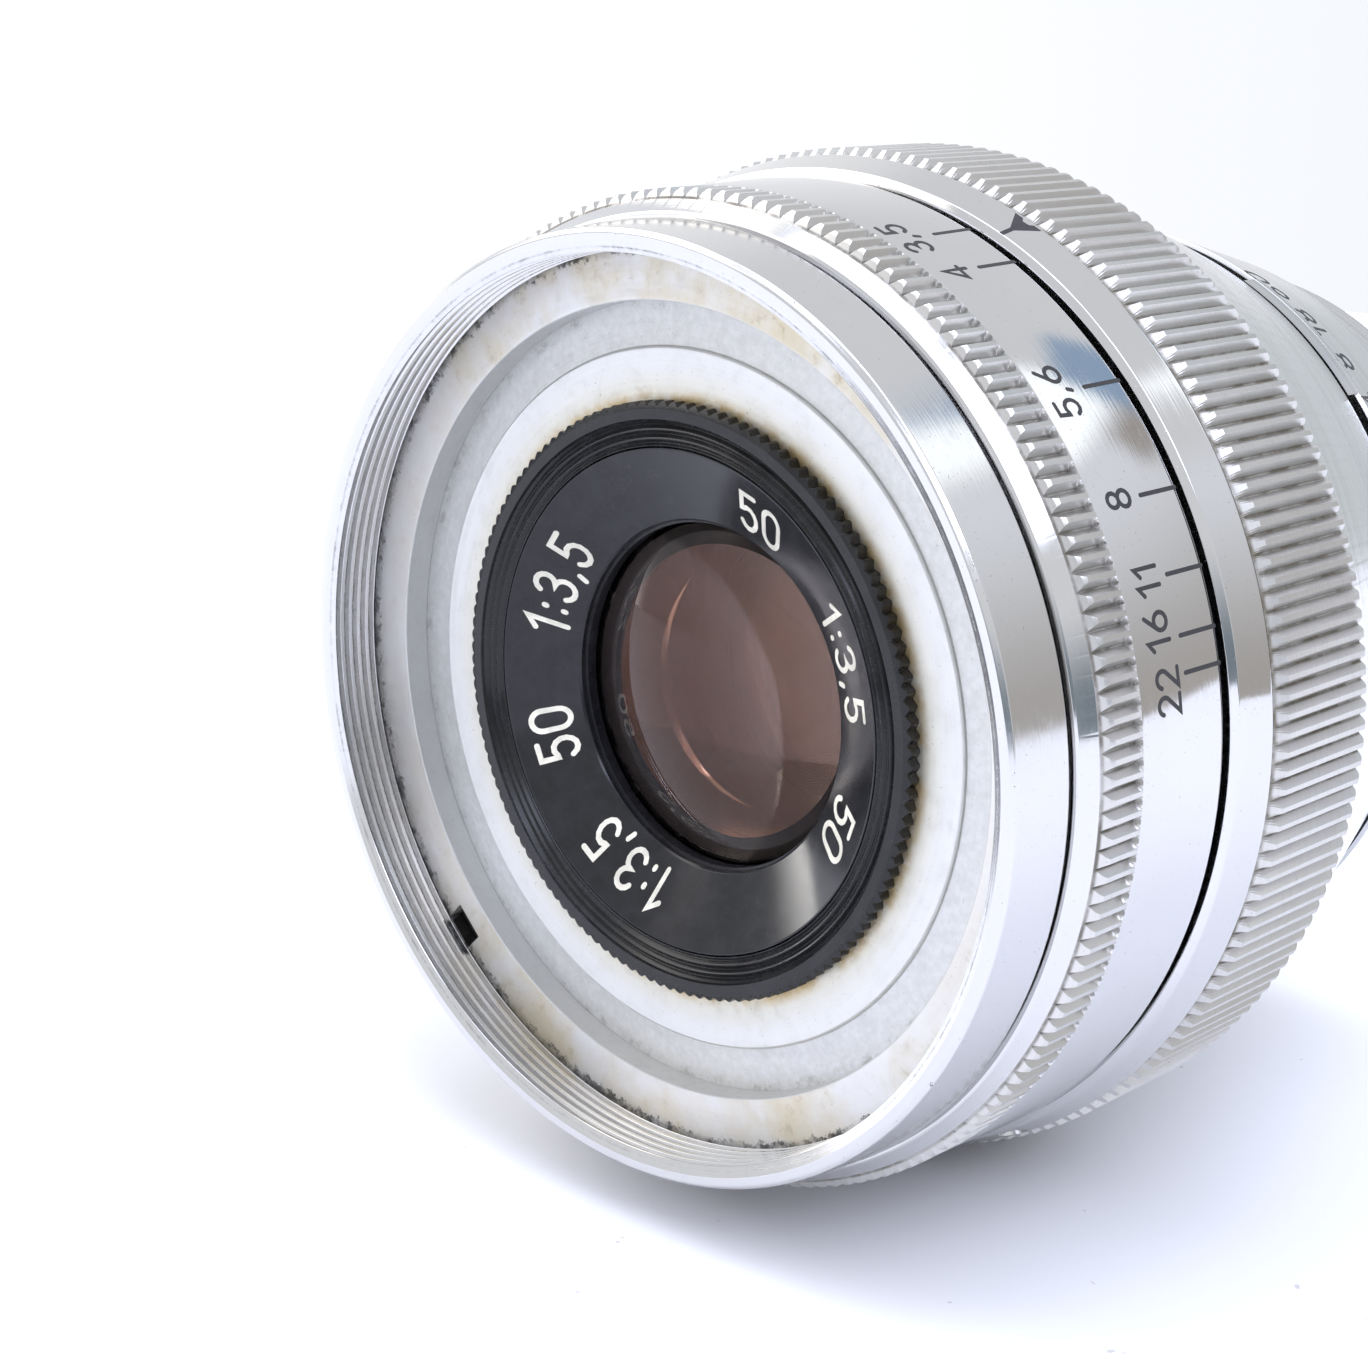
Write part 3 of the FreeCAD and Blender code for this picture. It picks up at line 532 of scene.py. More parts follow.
def metal(name, colour, rough, lines=0.35, per_mm=7.0, dirt_and_shade=None, dirt_and_shade_colour=(0.05, 0.035, 0.02),
          tint=None, metallic=1.0, blotch=0.06, pits=0.0, matte=None, streak=0.0):
    """Worn metal: turning lines, tone changes, small scratches, and a darkening from the given mask
    function: real grime in grooves and threads, painted shade on the cream ring.
    """
    material, s, shader = new_material(name)
    space = lens_space(s)
    vector = space.vector
    fine = turning(s, space, per_mm)
    broad = s.noise(vector, 0.35, 4.0, 0.6)
    cloud = s.noise(vector, 1.7, 5.0, 0.65)
    tone = s.step(broad, 0.3, 0.7, 1 - blotch, 1.0)
    base = s.mix(tone, rgba([c * 0.82 for c in colour]), rgba(colour))
    if streak:
        dark = s.math("MULTIPLY", s.step(fine, 0.42, 0.66), streak)
        base = s.mix(dark, base, rgba([c * 0.55 for c in colour]))
    if tint:
        base = tint(s, space, base)
    gloss = s.math("ADD", rough, s.math("MULTIPLY", s.math("SUBTRACT", fine, 0.5), rough))
    gloss = s.math("ADD", gloss, s.step(cloud, 0.45, 0.75, 0.0, rough * 0.5))
    bump_height = s.math("MULTIPLY", fine, lines)
    if matte:
        where, extra = matte(s, space)
        gloss = s.math("ADD", gloss, s.math("MULTIPLY", where, extra))
        smooth = s.math("SUBTRACT", 1.0, s.math("MULTIPLY", where, 0.8))
        bump_height = s.math("MULTIPLY", bump_height, smooth)
        base = s.mix(s.math("MULTIPLY", where, 0.7), base, rgba((0.60, 0.585, 0.56)))
    if pits:
        spots = s.noise(vector, 9.0, 2.0, 0.5)
        pit = s.step(spots, 0.70, 0.76)
        bump_height = s.math("SUBTRACT", bump_height, s.math("MULTIPLY", pit, pits))
        base = s.mix(s.math("MULTIPLY", pit, 0.6), base, rgba([c * 0.3 for c in colour]))
    if dirt_and_shade:
        # darkening mask: grime on most pieces, painted shade on the cream ring
        mask = dirt_and_shade(s, space)
        base = s.mix(mask, base, rgba(dirt_and_shade_colour))
        gloss = s.math("ADD", gloss, s.math("MULTIPLY", mask, 0.5))
        covered = s.math("MULTIPLY", mask, 0.75 * metallic)
        s.put(shader.inputs["Metallic"], s.math("SUBTRACT", metallic, covered))
    else:
        shader.inputs["Metallic"].default_value = metallic
    s.put(shader.inputs["Base Color"], base)
    s.put(shader.inputs["Roughness"], gloss)
    bump = s.node("ShaderNodeBump", Strength=0.6, Distance=0.000012, Height=bump_height)
    s.put(shader.inputs["Normal"], bump.outputs[0])
    return material


def dress(target, *materials):
    """Give a piece its materials."""
    target.data.materials.clear()
    for material in materials:
        target.data.materials.append(material)


def groove_dirt(tip, root, start, end, amount=1.0):
    """Dirt at the bottom of grooves cut below a tip radius."""
    def mask(s, space):
        deep = s.step(space.radius, root + 0.01, root + 0.42 * (tip - root), 1.0, 0.0)
        zone = s.window(space.depth, start, end, 0.02)
        patches = s.step(s.noise(space.vector, 0.55, 4.0, 0.65), 0.38, 0.62, 0.35, 1.0)
        return s.math("MULTIPLY", s.math("MULTIPLY", deep, zone), s.math("MULTIPLY", patches, amount))
    return mask


def knurled(start, end, extra):
    """Knurls are duller than the turned faces beside them."""
    return lambda s, space: (s.window(space.depth, start, end, 0.05), extra)


def thread_dirt(s, space):
    """Black and brown grime in the filter thread, thickest in patches."""
    radius, depth, vector = space.radius, space.depth, space.vector
    inside = s.window(radius, 19.99, 20.7, 0.04)
    zone = s.window(depth, 0.12, 2.95, 0.03)
    deep = s.step(radius, 20.12, 20.22)
    patches = s.step(s.noise(vector, 0.42, 5.0, 0.7), 0.42, 0.6, 0.15, 1.0)
    broken = s.step(s.noise(vector, 2.6, 4.0, 0.7), 0.40, 0.62, 0.25, 1.0)
    grime = s.math("MULTIPLY", s.math("MULTIPLY", inside, zone), s.math("MULTIPLY", patches, broken))
    line = s.math("MULTIPLY", grime, s.math("ADD", 0.08, s.math("MULTIPLY", deep, 0.85)))
    edge = s.math("MULTIPLY", s.window(depth, -0.05, 0.35, 0.03), s.step(radius, 20.3, 20.8))
    dings = s.step(s.noise(vector, 3.2, 4.0, 0.7), 0.66, 0.70, 0.0, 0.85)
    return s.math("MAXIMUM", line, s.math("MULTIPLY", edge, dings))


def yellowed(s, space, base):
    """Brown-yellow stains of old lacquer."""
    vector = space.vector
    wide = s.step(s.noise(vector, 0.16, 5.0, 0.62), 0.36, 0.62)
    high = s.step(s.math("ABSOLUTE", space.z), 6.0, 18.0, 0.30, 1.0)
    stain = s.math("MULTIPLY", wide, high)
    spotty = s.step(s.noise(vector, 1.3, 5.0, 0.7), 0.54, 0.76, 0.0, 0.7)
    base = s.mix(s.math("MULTIPLY", stain, 0.85), base, (0.62, 0.555, 0.40, 1.0))
    base = s.mix(s.math("MULTIPLY", stain, spotty), base, (0.36, 0.26, 0.13, 1.0))
    wall = s.step(space.radius, 17.80, 17.86, 1.0, 0.0)
    return s.mix(wall, base, (0.50, 0.50, 0.49, 1.0))


def step_tone(s, space, base):
    """Grey floor outside the white land, and a yellow edge beside the black cell."""
    radius, vector = space.radius, space.vector
    floor = s.step(radius, 15.68, 15.82)
    speck = s.step(s.noise(vector, 2.4, 5.0, 0.7), 0.35, 0.75, 0.75, 1.1)
    grey = s.mix(speck, (0.42, 0.42, 0.40, 1.0), (0.66, 0.66, 0.65, 1.0))
    seam = s.window(radius, 17.3, 18.0, 0.1)
    soot = s.step(s.noise(vector, 1.1, 6.0, 0.75), 0.50, 0.68)
    grey = s.mix(s.math("MULTIPLY", seam, s.math("MULTIPLY", soot, 0.4)), grey, (0.16, 0.15, 0.13, 1.0))
    base = s.mix(floor, base, grey)
    base = s.mix(s.step(radius, 13.5, 15.3, 0.6, 0.0), base, (0.64, 0.60, 0.47, 1.0))
    rim = s.step(radius, 13.45, 14.1, 1.0, 0.0)
    uneven = s.step(s.noise(vector, 0.7, 5.0, 0.7), 0.36, 0.60, 0.1, 1.0)
    return s.mix(s.math("MULTIPLY", rim, s.math("MULTIPLY", uneven, 0.9)), base, (0.50, 0.37, 0.17, 1.0))


def notch_and_gap_shade(s, space):
    """Painted shade: near black over the spanner notches, and a ragged dark line, broken in patches, along
    the ring's outer edge where it meets the barrel.
    """
    radius, depth, vector = space.radius, space.depth, space.vector
    a = math.radians(NOTCH_ANGLE)
    across = s.math("ADD", s.math("MULTIPLY", space.x, -math.cos(a)),
                    s.math("MULTIPLY", space.z, math.sin(a)))
    near = s.step(s.math("ABSOLUTE", across), 0.90, 0.96, 1.0, 0.0)
    deep = s.step(depth, 2.88, 2.95)
    outer = s.step(radius, 19.0, 19.04)
    # painted shade filling each spanner notch
    notch = s.math("MULTIPLY", s.math("MULTIPLY", near, deep), s.math("MULTIPLY", outer, 0.97))
    # painted shade along the gap to the barrel, with a ragged edge
    ragged = s.math("MULTIPLY", s.math("SUBTRACT", s.noise(vector, 3.0, 4.0, 0.7), 0.5), 1.2)
    edge = s.step(s.math("ADD", radius, ragged), 19.70, 19.86)
    broken = s.step(s.noise(vector, 0.9, 5.0, 0.7), 0.42, 0.60, 0.08, 0.85)
    return s.math("MAXIMUM", notch, s.math("MULTIPLY", edge, broken))


barrel_chrome = metal("barrel_chrome", CHROME, 0.12, dirt_and_shade=thread_dirt, pits=0.5)
# the cream ring's darkening is painted shade in its notches and along its gap to the barrel
cream = metal("cream_lacquer", (0.73, 0.725, 0.72), 0.42, lines=0.25, per_mm=5.0, tint=yellowed,
              metallic=0.75, pits=0.3, blotch=0.08, dirt_and_shade=notch_and_gap_shade, dirt_and_shade_colour=(0.012, 0.011, 0.01))
white_step = metal("white_step", (0.70, 0.70, 0.69), 0.42, lines=0.3, per_mm=6.0, tint=step_tone,
                   metallic=0.8, pits=0.25)
ring_chrome = metal("ring_chrome", CHROME, 0.08, lines=0.5, per_mm=6.0,
                    dirt_and_shade=groove_dirt(22.3, 22.0, 4.3, 6.56, 0.85), dirt_and_shade_colour=(0.10, 0.085, 0.06), pits=0.3,
                    matte=knurled(4.33, 6.56, 0.24))
band_chrome = metal("band_chrome", CHROME, 0.06, lines=0.4, per_mm=5.0, pits=0.3)
focus_chrome = metal("focus_chrome", CHROME, 0.16, lines=1.0, per_mm=8.0, streak=0.3,
                     dirt_and_shade=groove_dirt(23.6, 23.25, 14.6, 21.7, 0.95), dirt_and_shade_colour=(0.15, 0.13, 0.09),
                     pits=0.3, matte=knurled(14.7, 21.7, 0.2))
rear_chrome = metal("rear_chrome", CHROME, 0.18, lines=0.6, per_mm=6.0, streak=0.4,
                    dirt_and_shade=groove_dirt(16.25, 15.9, 42.1, 46.3, 0.8))
number_chrome = metal("number_chrome", CHROME, 0.18, lines=0.8, per_mm=7.0, streak=0.3)
steel = metal("screw_steel", (0.50, 0.49, 0.47), 0.28, lines=0.3, blotch=0.2)
brass = metal("brass", (0.62, 0.46, 0.20), 0.25, lines=0.6, blotch=0.2)
satin = metal("satin_chrome", (0.56, 0.555, 0.545), 0.26, lines=0.9, per_mm=7.0)
blued = metal("blued_steel", (0.045, 0.05, 0.06), 0.38, lines=0.3, blotch=0.3)


def painted(name, colour, rough, lines, per_mm=8.0, scuff=(0.25, 0.24, 0.22), wear=0.35, ior=1.5):
    """Black enamel with fine turning marks, dust and small scuffs."""
    material, s, shader = new_material(name)
    space = lens_space(s)
    vector = space.vector
    fine = turning(s, space, per_mm)
    cloud = s.noise(vector, 0.8, 5.0, 0.65)
    dust = s.step(s.noise(vector, 7.0, 4.0, 0.75), 0.66, 0.76)
    base = s.mix(s.step(cloud, 0.3, 0.75), rgba(colour), rgba([c * 1.5 + 0.004 for c in colour]))
    base = s.mix(s.math("MULTIPLY", dust, wear), base, rgba(scuff))
    s.put(shader.inputs["Base Color"], base)
    gloss = s.math("ADD", s.step(cloud, 0.3, 0.8, rough, rough * 1.7), s.math("MULTIPLY", dust, 0.3))
    s.put(shader.inputs["Roughness"], gloss)
    shader.inputs["IOR"].default_value = ior
    bump = s.node("ShaderNodeBump", Strength=0.5, Distance=0.00001,
                  Height=s.math("ADD", s.math("MULTIPLY", fine, lines), s.math("MULTIPLY", dust, 0.4)))
    s.put(shader.inputs["Normal"], bump.outputs[0])
    return material


cell_black = painted("cell_black", (0.008, 0.008, 0.009), 0.2, 0.15, wear=0.25, ior=1.42)
name_black = painted("name_black", (0.009, 0.009, 0.011), 0.10, 0.08, wear=0.12, ior=1.40)
inner_black = painted("inner_black", (0.008, 0.008, 0.009), 0.55, 0.5, wear=0.15, ior=1.4)
ink_black = painted("ink_black", (0.018, 0.018, 0.02), 0.5, 0.1, wear=0.1)
ink_white = painted("ink_white", (0.60, 0.575, 0.50), 0.5, 0.1, scuff=(0.28, 0.26, 0.21), wear=0.6)


def glass(name, tint, ior, clear):
    """Coated optical glass with a little dust. Tint is the coating's colour, clear the glass's own."""
    material, s, shader = new_material(name)
    space = lens_space(s)
    dust = s.step(s.noise(space.vector, 5.0, 5.0, 0.8), 0.70, 0.80)
    shader.inputs["Transmission Weight"].default_value = 1.0
    shader.inputs["IOR"].default_value = ior
    shader.inputs["Specular Tint"].default_value = rgba(tint)
    base = s.mix(s.math("MULTIPLY", dust, 0.2), rgba(clear), (0.40, 0.35, 0.30, 1))
    s.put(shader.inputs["Base Color"], base)
    s.put(shader.inputs["Roughness"], s.math("MULTIPLY", dust, 0.12))
    return material


front_coat = glass("front_coating", (0.10, 0.08, 0.09), 1.62, (0.91, 0.81, 0.75))
inner_coat = glass("inner_coating", (0.50, 0.25, 0.17), 1.95, (0.30, 0.18, 0.13))


# ------------------------------------------------------------------- front group, on head

def front_barrel():
    """Threaded front cup with a slot in its hidden skirt."""
    thread = grooves(0.15, 5, 19.95, 20.25)
    outline = rounded([
        (20.45, 0.0, 0.05), *thread, (19.95, 2.62, 0.02), (20.45, 2.68, 0.02), (20.45, 2.86, 0.02),
        (20.25, 2.87, 0.0), (20.25, 5.0, 0.02), (18.2, 5.0, 0.02), (18.2, 12.3, 0.03),
        (20.8, 12.3, 0.05), (20.8, 3.38, 0.04), (21.12, 3.38, 0.06), (21.3, 3.2, 0.10),
        (21.02, 0.22, 0.12), (20.82, 0.0, 0.10)])
    piece = add_object("barrel", revolve("barrel", outline), "head", "chrome", "front_barrel")
    cut_with(piece, sector_mesh(17.2, 21.25, 10.37, 11.47, 143.6, 62.7))
    dress(piece, barrel_chrome)


def cup_retainer():
    """Pale ring at the bottom of the cup, with two spanner notches."""
    outline = rounded([(17.77, 2.87, 0.06), (20.2, 2.87, 0.04), (20.2, 4.17, 0.03), (17.77, 4.17, 0.03)])
    mesh = revolve("cream_ring", outline)
    piece = add_object("cream_ring", mesh, "head", "lacquered_ring", "cup_retainer")
    for angle in (NOTCH_ANGLE - 180, NOTCH_ANGLE):
        cut_with(piece, block_mesh(19.05, 21.25, 1.87, 1.87, 3.67, angle))
    dress(piece, cream)


def step_ring():
    """White land round the cell and the grey floor outside it."""
    outline = rounded([
        (12.25, 3.86, 0.02), (13.45, 3.86, 0.0), (15.67, 3.78, 0.05), (15.76, 3.86, 0.04),
        (15.78, 3.98, 0.05), (17.77, 4.17, 0.0), (20.2, 4.17, 0.02), (20.2, 5.0, 0.02), (18.15, 5.0, 0.02),
        (18.15, 5.7, 0.03), (12.25, 5.7, 0.03)])
    piece = add_object("step_plate", revolve("step_plate", outline), "head", "grey_alloy", "step_ring")
    dress(piece, white_step)


def front_cell():
    """Black knurled cell with ridges on its face."""
    corners = [(11.45, 3.43, 0.03)]
    for i in range(3):
        corners += [(11.62 + 0.4 * i, 3.60 - 0.02 * i, 0.04), (11.81 + 0.4 * i, 3.35 - 0.02 * i, 0.05)]
    corners += [
        (12.67, 3.16, 0.03), (13.12, 3.16, 0.03), (13.19, 3.18, 0.0), (13.45, 3.30, 0.0), (13.45, 3.86, 0.0),
        (12.2, 3.86, 0.02), (12.2, 6.2, 0.02), (11.3, 6.2, 0.02), (11.3, 11.15, 0.03), (8.3, 11.15, 0.02),
        (8.3, 7.35, 0.02), (7.5, 7.35, 0.02), (7.5, 7.05, 0.02), (8.25, 7.05, 0.02), (8.25, 6.12, 0.02),
        (10.25, 6.12, 0.02), (10.25, 5.3, 0.02), (11.45, 5.3, 0.02)]
    mesh = revolve("cell", rounded(corners), teeth=Teeth(135, 13.27, 3.17, 3.87, 0.2))
    dress(add_object("cell", mesh, "head", "black_enamel", "front_cell"), cell_black)


def name_ring():
    """Black conical ring in front of the glass."""
    outline = rounded([
        (8.06, 5.19, 0.05), (11.40, 3.456, 0.05), (11.40, 5.3, 0.02), (10.2, 5.3, 0.02), (10.2, 6.1, 0.02),
        (7.85, 6.1, 0.02), (7.85, 5.55, 0.03), (7.98, 5.55, 0.03), (7.98, 5.29, 0.02)])
    dress(add_object("name_plate", revolve("name_plate", outline), "head", "black_enamel", "name_ring"),
          name_black)


def engraving():
    """White numerals round the black ring: the focal length and the speed, nothing else."""
    middle = 9.55
    for angle, text in ((25, "50"), (70, "1:3,5"), (115, "50"), (205, "1:3,5"), (250, "50"), (295, "1:3,5")):

        def place(u, v, rise, angle=angle):
            radius = middle + v
            bearing = angle + math.degrees(u / (middle + 0.3 * v))
            return point_at(radius, name_depth(radius) - rise, bearing)
        for line in strokes(text, 1.8, 0.28):
            yield line, place


def name_numbers():
    """The white numerals as one piece."""
    points, faces = [], []
    for line, place in engraving():
        stroke_into(points, faces, line, 0.25, place, 0.012, 0.02)
    mesh = new_mesh("name_numbers", points, faces)
    dress(add_object("name_numbers", mesh, "head", "black_enamel"), ink_white)


def front_glass():
    """Front element with a polished convex face."""
    edge, vertex, back_depth, curve = 8.2, 4.35, 7.05, 18.0
    rows, columns = 40, 240
    points, faces = [], []
    for i in range(rows):
        r = edge * (1 - i / rows)
        depth = vertex + curve - math.sqrt(curve * curve - r * r)
        points += [point_at(r, depth, 360 * j / columns) for j in range(columns)]
    for i in range(rows - 1):
        for j in range(columns):
            k = (j + 1) % columns
            faces.append((i * columns + j, i * columns + k, (i + 1) * columns + k, (i + 1) * columns + j))
    tip = len(points)
    points.append(point_at(0, vertex, 0))
    inner = (rows - 1) * columns
    faces += [(inner + j, inner + (j + 1) % columns, tip) for j in range(columns)]
    back = len(points)
    points += [point_at(edge, back_depth, 360 * j / columns) for j in range(columns)]
    faces += [(back + j, back + (j + 1) % columns, (j + 1) % columns, j) for j in range(columns)]
    faces.append(tuple(range(back, back + columns)))
    mesh = new_mesh("front_lens", points, faces)
    mesh.shade_smooth()
    mesh.set_sharp_from_angle(angle=math.radians(35))
    dress(add_object("front_lens", mesh, "head", "front_glass", "front_glass"), front_coat)


# ---------------------------------------------------------------- aperture ring and band

def aperture_ring():
    """Ring with a bevel, a knurl and the aperture band."""
    outline = rounded([
        (20.85, 3.55, 0.03), (21.38, 3.55, 0.03), (21.48, 3.63, 0.04), (21.95, 4.30, 0.0),
        (22.02, 4.37, 0.0),
        (22.30, 4.52, 0.0), (22.42, 4.70, 0.0), (22.42, 6.52, 0.0), (22.40, 6.585, 0.0), (22.42, 6.65, 0.0),
        (22.62, 11.8, 0.08), (22.45, 12.0, 0.05), (20.85, 12.0, 0.03)])
    mesh = revolve("aperture_control", outline, teeth=Teeth(176, 22.0, 4.33, 6.53, 0.28))
    piece = add_object("aperture_control", mesh, "aperture", "chrome", "aperture_ring")
    cut_with(piece, hole_mesh(0.4, 19.8, 25.8, 200, 10.92), hole_mesh(1.0, 21.67, 24.67, 200, 10.92))
    dress(piece, ring_chrome)


# number, angle of its tick, angle and depth of its middle
APERTURES = (("3,5", 23.4, 23.3, 7.8), ("4", 30.2, 30.5, 8.1), ("5,6", 48.0, 47.9, 7.95),
             ("8", 60.6, 60.5, 8.2), ("11", 69.0, 69.1, 8.3), ("16", 75.3, 74.3, 8.2),
             ("22", 79.1, 80.5, 8.4))


def aperture_scale():
    """Black aperture numbers, each with its tick."""
    points, faces = [], []
    for text, tick, angle, depth in APERTURES:
        stroke_into(points, faces, [(0.0, 2.3), (0.0, 1.0), (0.0, 0.0)], 0.19,
                    round_band(tick, 11.9, scale_radius), *INK)
        for line in strokes(text, 1.38, 0.25):
            stroke_into(points, faces, line, 0.19, round_band(angle, depth, scale_radius), *INK)
    mesh = new_mesh("aperture_scale", points, faces)
    dress(add_object("aperture_scale", mesh, "aperture", "chrome"), ink_black)


def index_band():
    """Smooth sloping band behind the aperture ring."""
    outline = rounded([
        (22.25, 12.38, 0.03), (22.65, 12.38, 0.04), (22.95, 12.62, 0.08), (23.45, 14.32, 0.10),
        (23.27, 14.5, 0.06), (22.25, 14.5, 0.03)])
    piece = add_object("index_collar", revolve("index_collar", outline), "head", "chrome", "index_band")
    for angle in SCREW_ANGLES:
        cut_with(piece, hole_mesh(0.7, 21.2, 24.2, angle, 13.5))
    dress(piece, band_chrome)


def index_mark():
    """Black line that opens into a triangle."""
    middle, line, wing = 26.2, 0.28, 1.9
    edge = [(middle - line, 12.62), (middle + line, 12.62), (middle + line, 13.25),
            (middle + wing, 14.22), (middle - wing, 14.22), (middle - line, 13.25)]
    points = []
    for level in (INK[0], -INK[1]):
        points += [point_at(band_radius(d) + level, d, a) for a, d in edge]
    faces = [(0, 1, 2, 5), (5, 2, 3, 4), (11, 8, 7, 6), (10, 9, 8, 11)]
    faces += [(i, i + 6, (i + 1) % 6 + 6, (i + 1) % 6) for i in range(6)]
    mesh = new_mesh("index_mark", points, faces)
    dress(add_object("index_mark", mesh, "head", "chrome"), ink_black)


# ------------------------------------------------------------------ focusing ring and rear

def focus_ring():
    """Knurled focusing ring with its taper."""
    outline = rounded([
        (17.95, 14.65, 0.03), (23.05, 14.65, 0.03), (23.24, 14.68, 0.0), (23.72, 15.15, 0.0),
        (23.72, 21.28, 0.0), (23.62, 21.52, 0.0), (23.42, 21.67, 0.0), (23.24, 21.72, 0.0),
        (19.53, 32.93, 0.10), (19.35, 33.15, 0.08), (16.6, 33.15, 0.03), (16.6, 30.0, 0.02),
        (15.7, 30.0, 0.02), (15.7, 28.55, 0.02), (17.95, 28.55, 0.02)])
    mesh = revolve("focus_grip", outline, teeth=Teeth(184, 23.25, 14.69, 21.69, 0.28))
    piece = add_object("focus_grip", mesh, "focusing", "chrome", "focus_ring")
    cut_with(piece, axial_hole(0.5, STOP_REACH, -37, 31.8, 34.8))
    dress(piece, focus_chrome)


def number_ring():
    """Tapering number ring with the stop tab on its front edge."""
    outline = rounded([
        (16.6, 34.2, 0.03), (19.25, 34.2, 0.04), (19.42, 34.35, 0.06), (17.72, 41.35, 0.08),
        (17.54, 41.5, 0.05), (16.6, 41.5, 0.03)])
    piece = add_object("distance_ring", revolve("distance_ring", outline), "mount", "chrome", "number_ring")
    tab = sector_mesh(17.3, 19.40, 33.4, 34.7, 28.0, 23.2)
    combine(piece, tab, "UNION")
    cut_with(piece, axial_hole(0.6, STOP_REACH, -33.2, 32.55, 35.55))
    for angle in SCREW_ANGLES:
        cut_with(piece, hole_mesh(0.8, 16.0, 20.0, angle, 38.0))
    dress(piece, number_chrome)


# number, angle and depth of its middle
DISTANCES = (("60", 28.7, 35.4), ("18", 37.6, 35.6), ("8", 45.4, 35.4), ("4", 52.6, 35.4),
             ("3", 59.5, 35.4), ("2", 66.0, 35.4))


def distance_scale():
    """Black distance numbers, with no unit."""
    points, faces = [], []
    for text, angle, depth in DISTANCES:
        for line in strokes(text, 1.7, 0.26):
            stroke_into(points, faces, line, 0.2, round_band(angle, depth, number_radius), *INK)
    mesh = new_mesh("distance_scale", points, faces)
    dress(add_object("distance_scale", mesh, "mount", "chrome"), ink_black)


def rear_mount():
    """Rear thread, flange and guide sleeve."""
    thread = grooves(42.2, 8, 16.25, 15.95)
    outline = rounded([
        (13.6, 27.1, 0.03), (15.28, 27.1, 0.03), (15.28, 28.5, 0.02), (15.65, 28.5, 0.02),
        (15.65, 30.05, 0.02), (16.55, 30.05, 0.02), (16.55, 41.5, 0.02), (17.45, 41.5, 0.04),
        (17.45, 41.85, 0.05), (17.28, 42.0, 0.05), (16.25, 42.0, 0.02), *thread,
        (16.25, 46.3, 0.03), (16.0, 46.5, 0.04), (13.6, 46.5, 0.05)])
    piece = add_object("rear_flange", revolve("rear_flange", outline), "mount", "chrome", "rear_mount")
    for angle in (90, 270):
        cut_with(piece, block_mesh(12.6, 14.6, 3.0, 26.1, 33.5, angle))
    for angle in SCREW_ANGLES:
        cut_with(piece, hole_mesh(0.8, 16.0, 18.0, angle, 38.0))
    dress(piece, rear_chrome)


front_barrel()
cup_retainer()
step_ring()
front_cell()
name_ring()
name_numbers()
front_glass()
aperture_ring()
aperture_scale()
index_band()
index_mark()
focus_ring()
number_ring()
distance_scale()
rear_mount()

FINISH = {
    "head_sleeve": satin, "focus_retainer": brass, "guide_key": steel, "number_ring_screw": steel,
    "focus_stop_screw": steel, "focus_stop_pin": steel, "index_band_screw": steel,
    "aperture_drive_screw": steel, "iris_cam_ring": blued, "rear_cell": inner_black,
    "iris_plate": inner_black, "iris_cover": inner_black, "glass_spacer": inner_black,
    "front_cell_retainer": inner_black, "rear_cell_retainer": inner_black,
    "middle_glass": inner_coat, "rear_glass_a": inner_coat, "rear_glass_b": inner_coat,
}
for i in range(1, 7):
    FINISH[f"iris_blade_{i}"] = blued
for node, material in FINISH.items():
    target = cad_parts[node]
    for index in range(len(target.material_slots)):
        target.material_slots[index].link = "OBJECT"
        target.material_slots[index].material = material


# ------------------------------------------------------------------------ floor and light

def floor():
    """Plain pale surface under the lens."""
    reach, right, back = 3.0, 0.30, 0.32
    corners = ((-reach, -reach), (right, -reach), (right, back), (-reach, back))
    mesh = bpy.data.meshes.new("floor")
    mesh.from_pydata([(x, y, FLOOR_Z) for x, y in corners], [], [(0, 1, 2, 3)])
    ground = bpy.data.objects.new("floor", mesh)
    bpy.context.scene.collection.objects.link(ground)
    material, s, shader = new_material("pale_paper")
    vector = s.node("ShaderNodeTexCoord").outputs["Object"]
    speck = s.step(s.noise(vector, 700.0, 2.0, 0.5), 0.765, 0.785)
    paper, dust = (0.77, 0.78, 0.825, 1), (0.34, 0.32, 0.30, 1)
    s.put(shader.inputs["Base Color"], s.mix(s.math("MULTIPLY", speck, 0.5), paper, dust))
    shader.inputs["Roughness"].default_value = 0.6
    shader.inputs["Specular IOR Level"].default_value = 0.2
    dress(ground, material)


# colour, azimuth, half width, softness of the sides, lowest and highest elevation, their softness
PATCHES = (
    # bright pane, blue pane and window bar in the wall on the right
    ((1.6, 1.68, 1.75), 142, 14, 2, 37, 50, 2),
    ((0.36, 0.50, 0.70), 163, 7, 1.2, 31, 45, 1.2),
    ((0.46, 0.43, 0.41), 153, 5, 2, 28, 35, 2),
    # white sweep behind and the paler left side
    ((1.04, 1.05, 1.08), -127, 16, 10, -30, 40, 10),
    ((0.72, 0.77, 0.81), -172, 13, 4, -30, 34, 5),
    ((1.05, 1.08, 1.14), -108, 12, 6, -20, 70, 8),
    # window that throws the shadow, its low bright part, and a light over the camera's right
    ((3.6, 3.5, 3.4), -68, 30, 6, 24, 62, 6),
    ((12.0, 11.8, 11.5), -86, 12, 8, -4, 10, 6),
    ((5.4, 5.8, 7.2), 57, 14, 3, 33, 66, 4),
    # dimmer room behind the camera
    ((0.26, 0.31, 0.36), 48, 34, 12, -20, 10, 9),
)


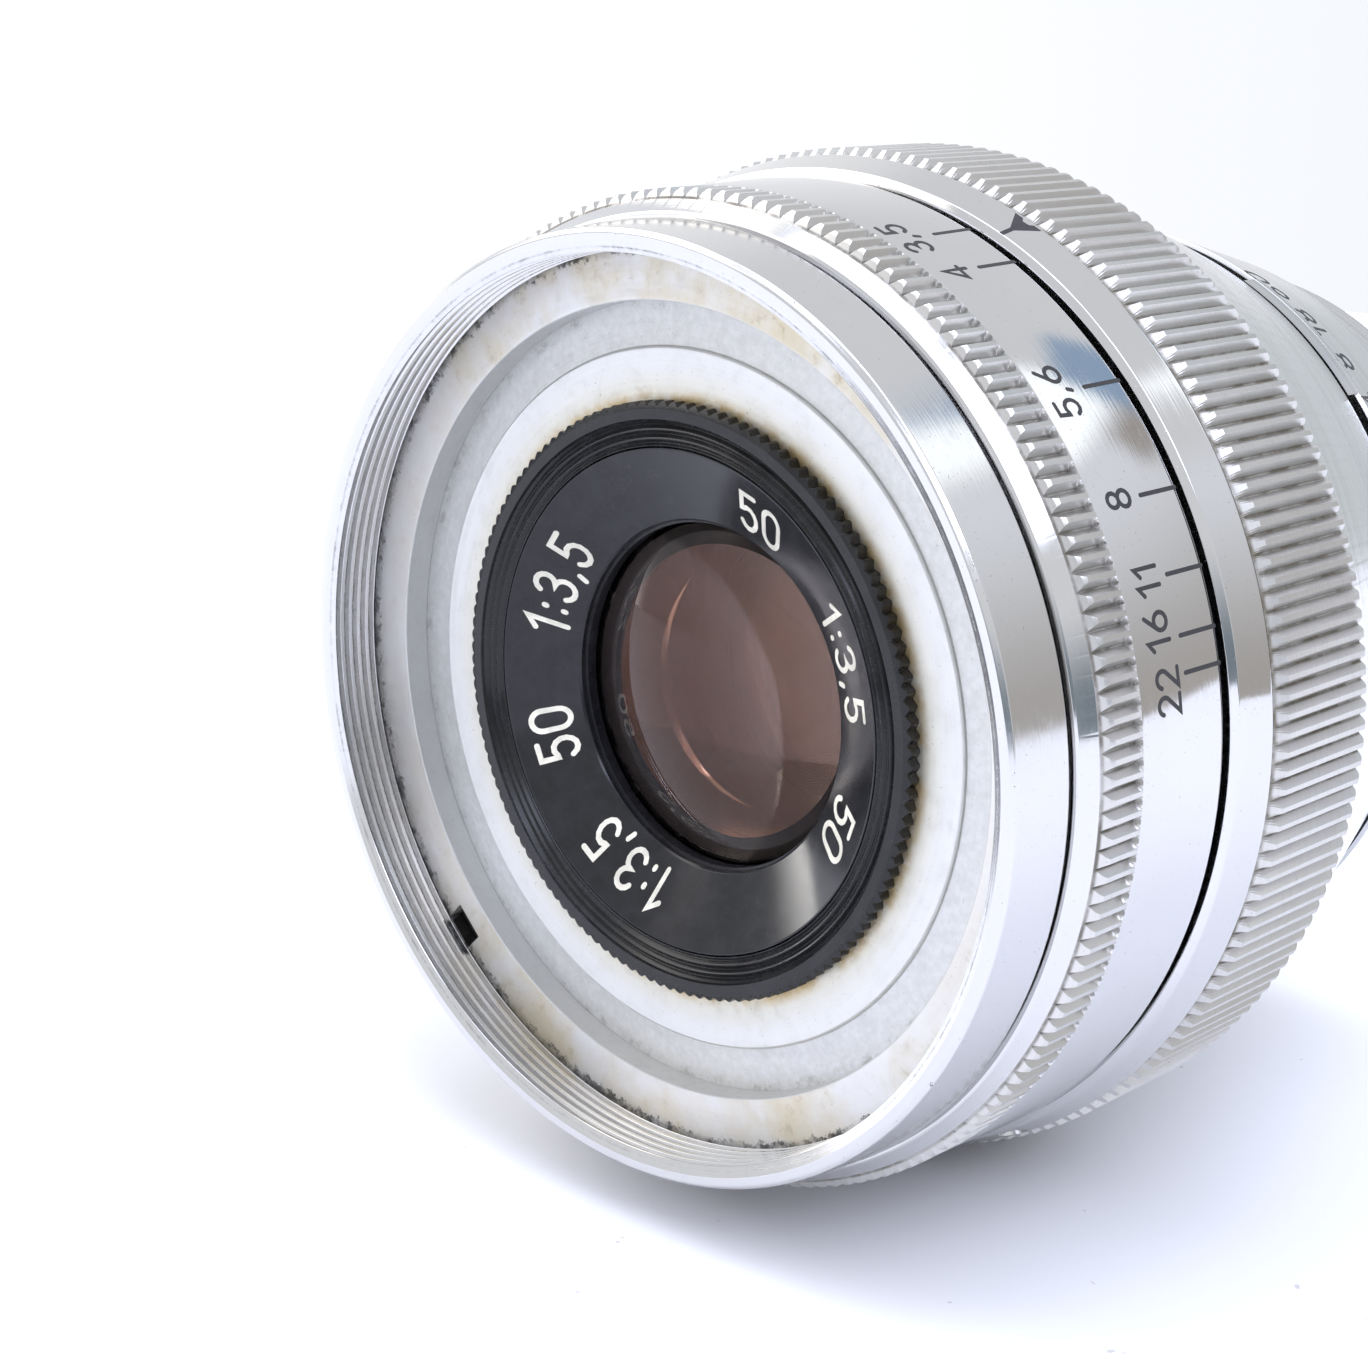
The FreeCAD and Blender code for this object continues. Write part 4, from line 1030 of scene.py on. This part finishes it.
def sky():
    """Bright room round the lens: azimuth is from -Y towards +X, elevation up from level."""
    world = bpy.data.worlds.new("studio")
    bpy.context.scene.world = world
    world.use_nodes = True
    s = Shader(world.node_tree)
    direction = s.node("ShaderNodeTexCoord").outputs["Generated"]
    dx, dy, dz = s.node("ShaderNodeSeparateXYZ", Vector=direction).outputs
    radian = math.degrees(1)
    azimuth = s.math("MULTIPLY", s.math("ARCTAN2", dx, s.math("MULTIPLY", dy, -1.0)), radian)
    elevation = s.math("MULTIPLY", s.math("ARCSINE", dz), radian)

    def patch(colour, tone, az, half, soft, low, high, fade):
        turned = s.math("WRAP", s.math("SUBTRACT", azimuth, az), 180.0, -180.0)
        across = s.step(s.math("ABSOLUTE", turned), half - soft, half + soft, 1.0, 0.0)
        up = s.window(elevation, low, high, fade)
        return s.mix(s.math("MULTIPLY", across, up), colour, tone)

    colour = s.mix(s.step(elevation, 10.0, 45.0), (0.92, 0.94, 0.98, 1), (0.88, 0.90, 0.94, 1))
    colour = s.mix(s.step(elevation, 64.0, 76.0), colour, (3.2, 3.4, 4.1, 1))
    # taupe wall on the right, lighter towards its top
    wall = s.mix(s.step(elevation, -4.0, 36.0), (0.53, 0.51, 0.49, 1), (0.98, 1.02, 1.10, 1))
    colour = patch(colour, wall, 134, 36, 8, -30, 36, 5)
    for tone, *place in PATCHES:
        colour = patch(colour, rgba(tone), *place)
    background = s.node("ShaderNodeBackground", Color=colour, Strength=1.0)
    output = s.node("ShaderNodeOutputWorld")
    s.tree.links.new(background.outputs[0], output.inputs[0])


def camera():
    """Camera at the photograph's angle, close in front and to the right."""
    data = bpy.data.cameras.new("camera")
    data.lens = 66.7
    data.sensor_width = 36.0
    data.shift_x = -0.0073
    data.shift_y = -0.0007
    data.clip_start = 0.005
    item = bpy.data.objects.new("camera", data)
    item.location = (0.07544, -0.11594, 0.02904)
    item.rotation_euler = (math.radians(90 - 14.54), 0, math.radians(43.86))
    bpy.context.scene.collection.objects.link(item)
    bpy.context.scene.camera = item


def fill():
    """Soft light from the right that lifts the shadow and shows in no reflection."""
    data = bpy.data.lights.new("fill", "SUN")
    data.energy = 1.1
    data.color = (0.93, 0.95, 1.0)
    data.angle = math.radians(80)
    item = bpy.data.objects.new("fill", data)
    item.visible_glossy = False
    item.visible_transmission = False
    item.rotation_euler = (0, math.radians(42), math.radians(20))
    bpy.context.scene.collection.objects.link(item)


floor()
sky()
fill()
camera()
bpy.context.scene.view_settings.view_transform = "Standard"
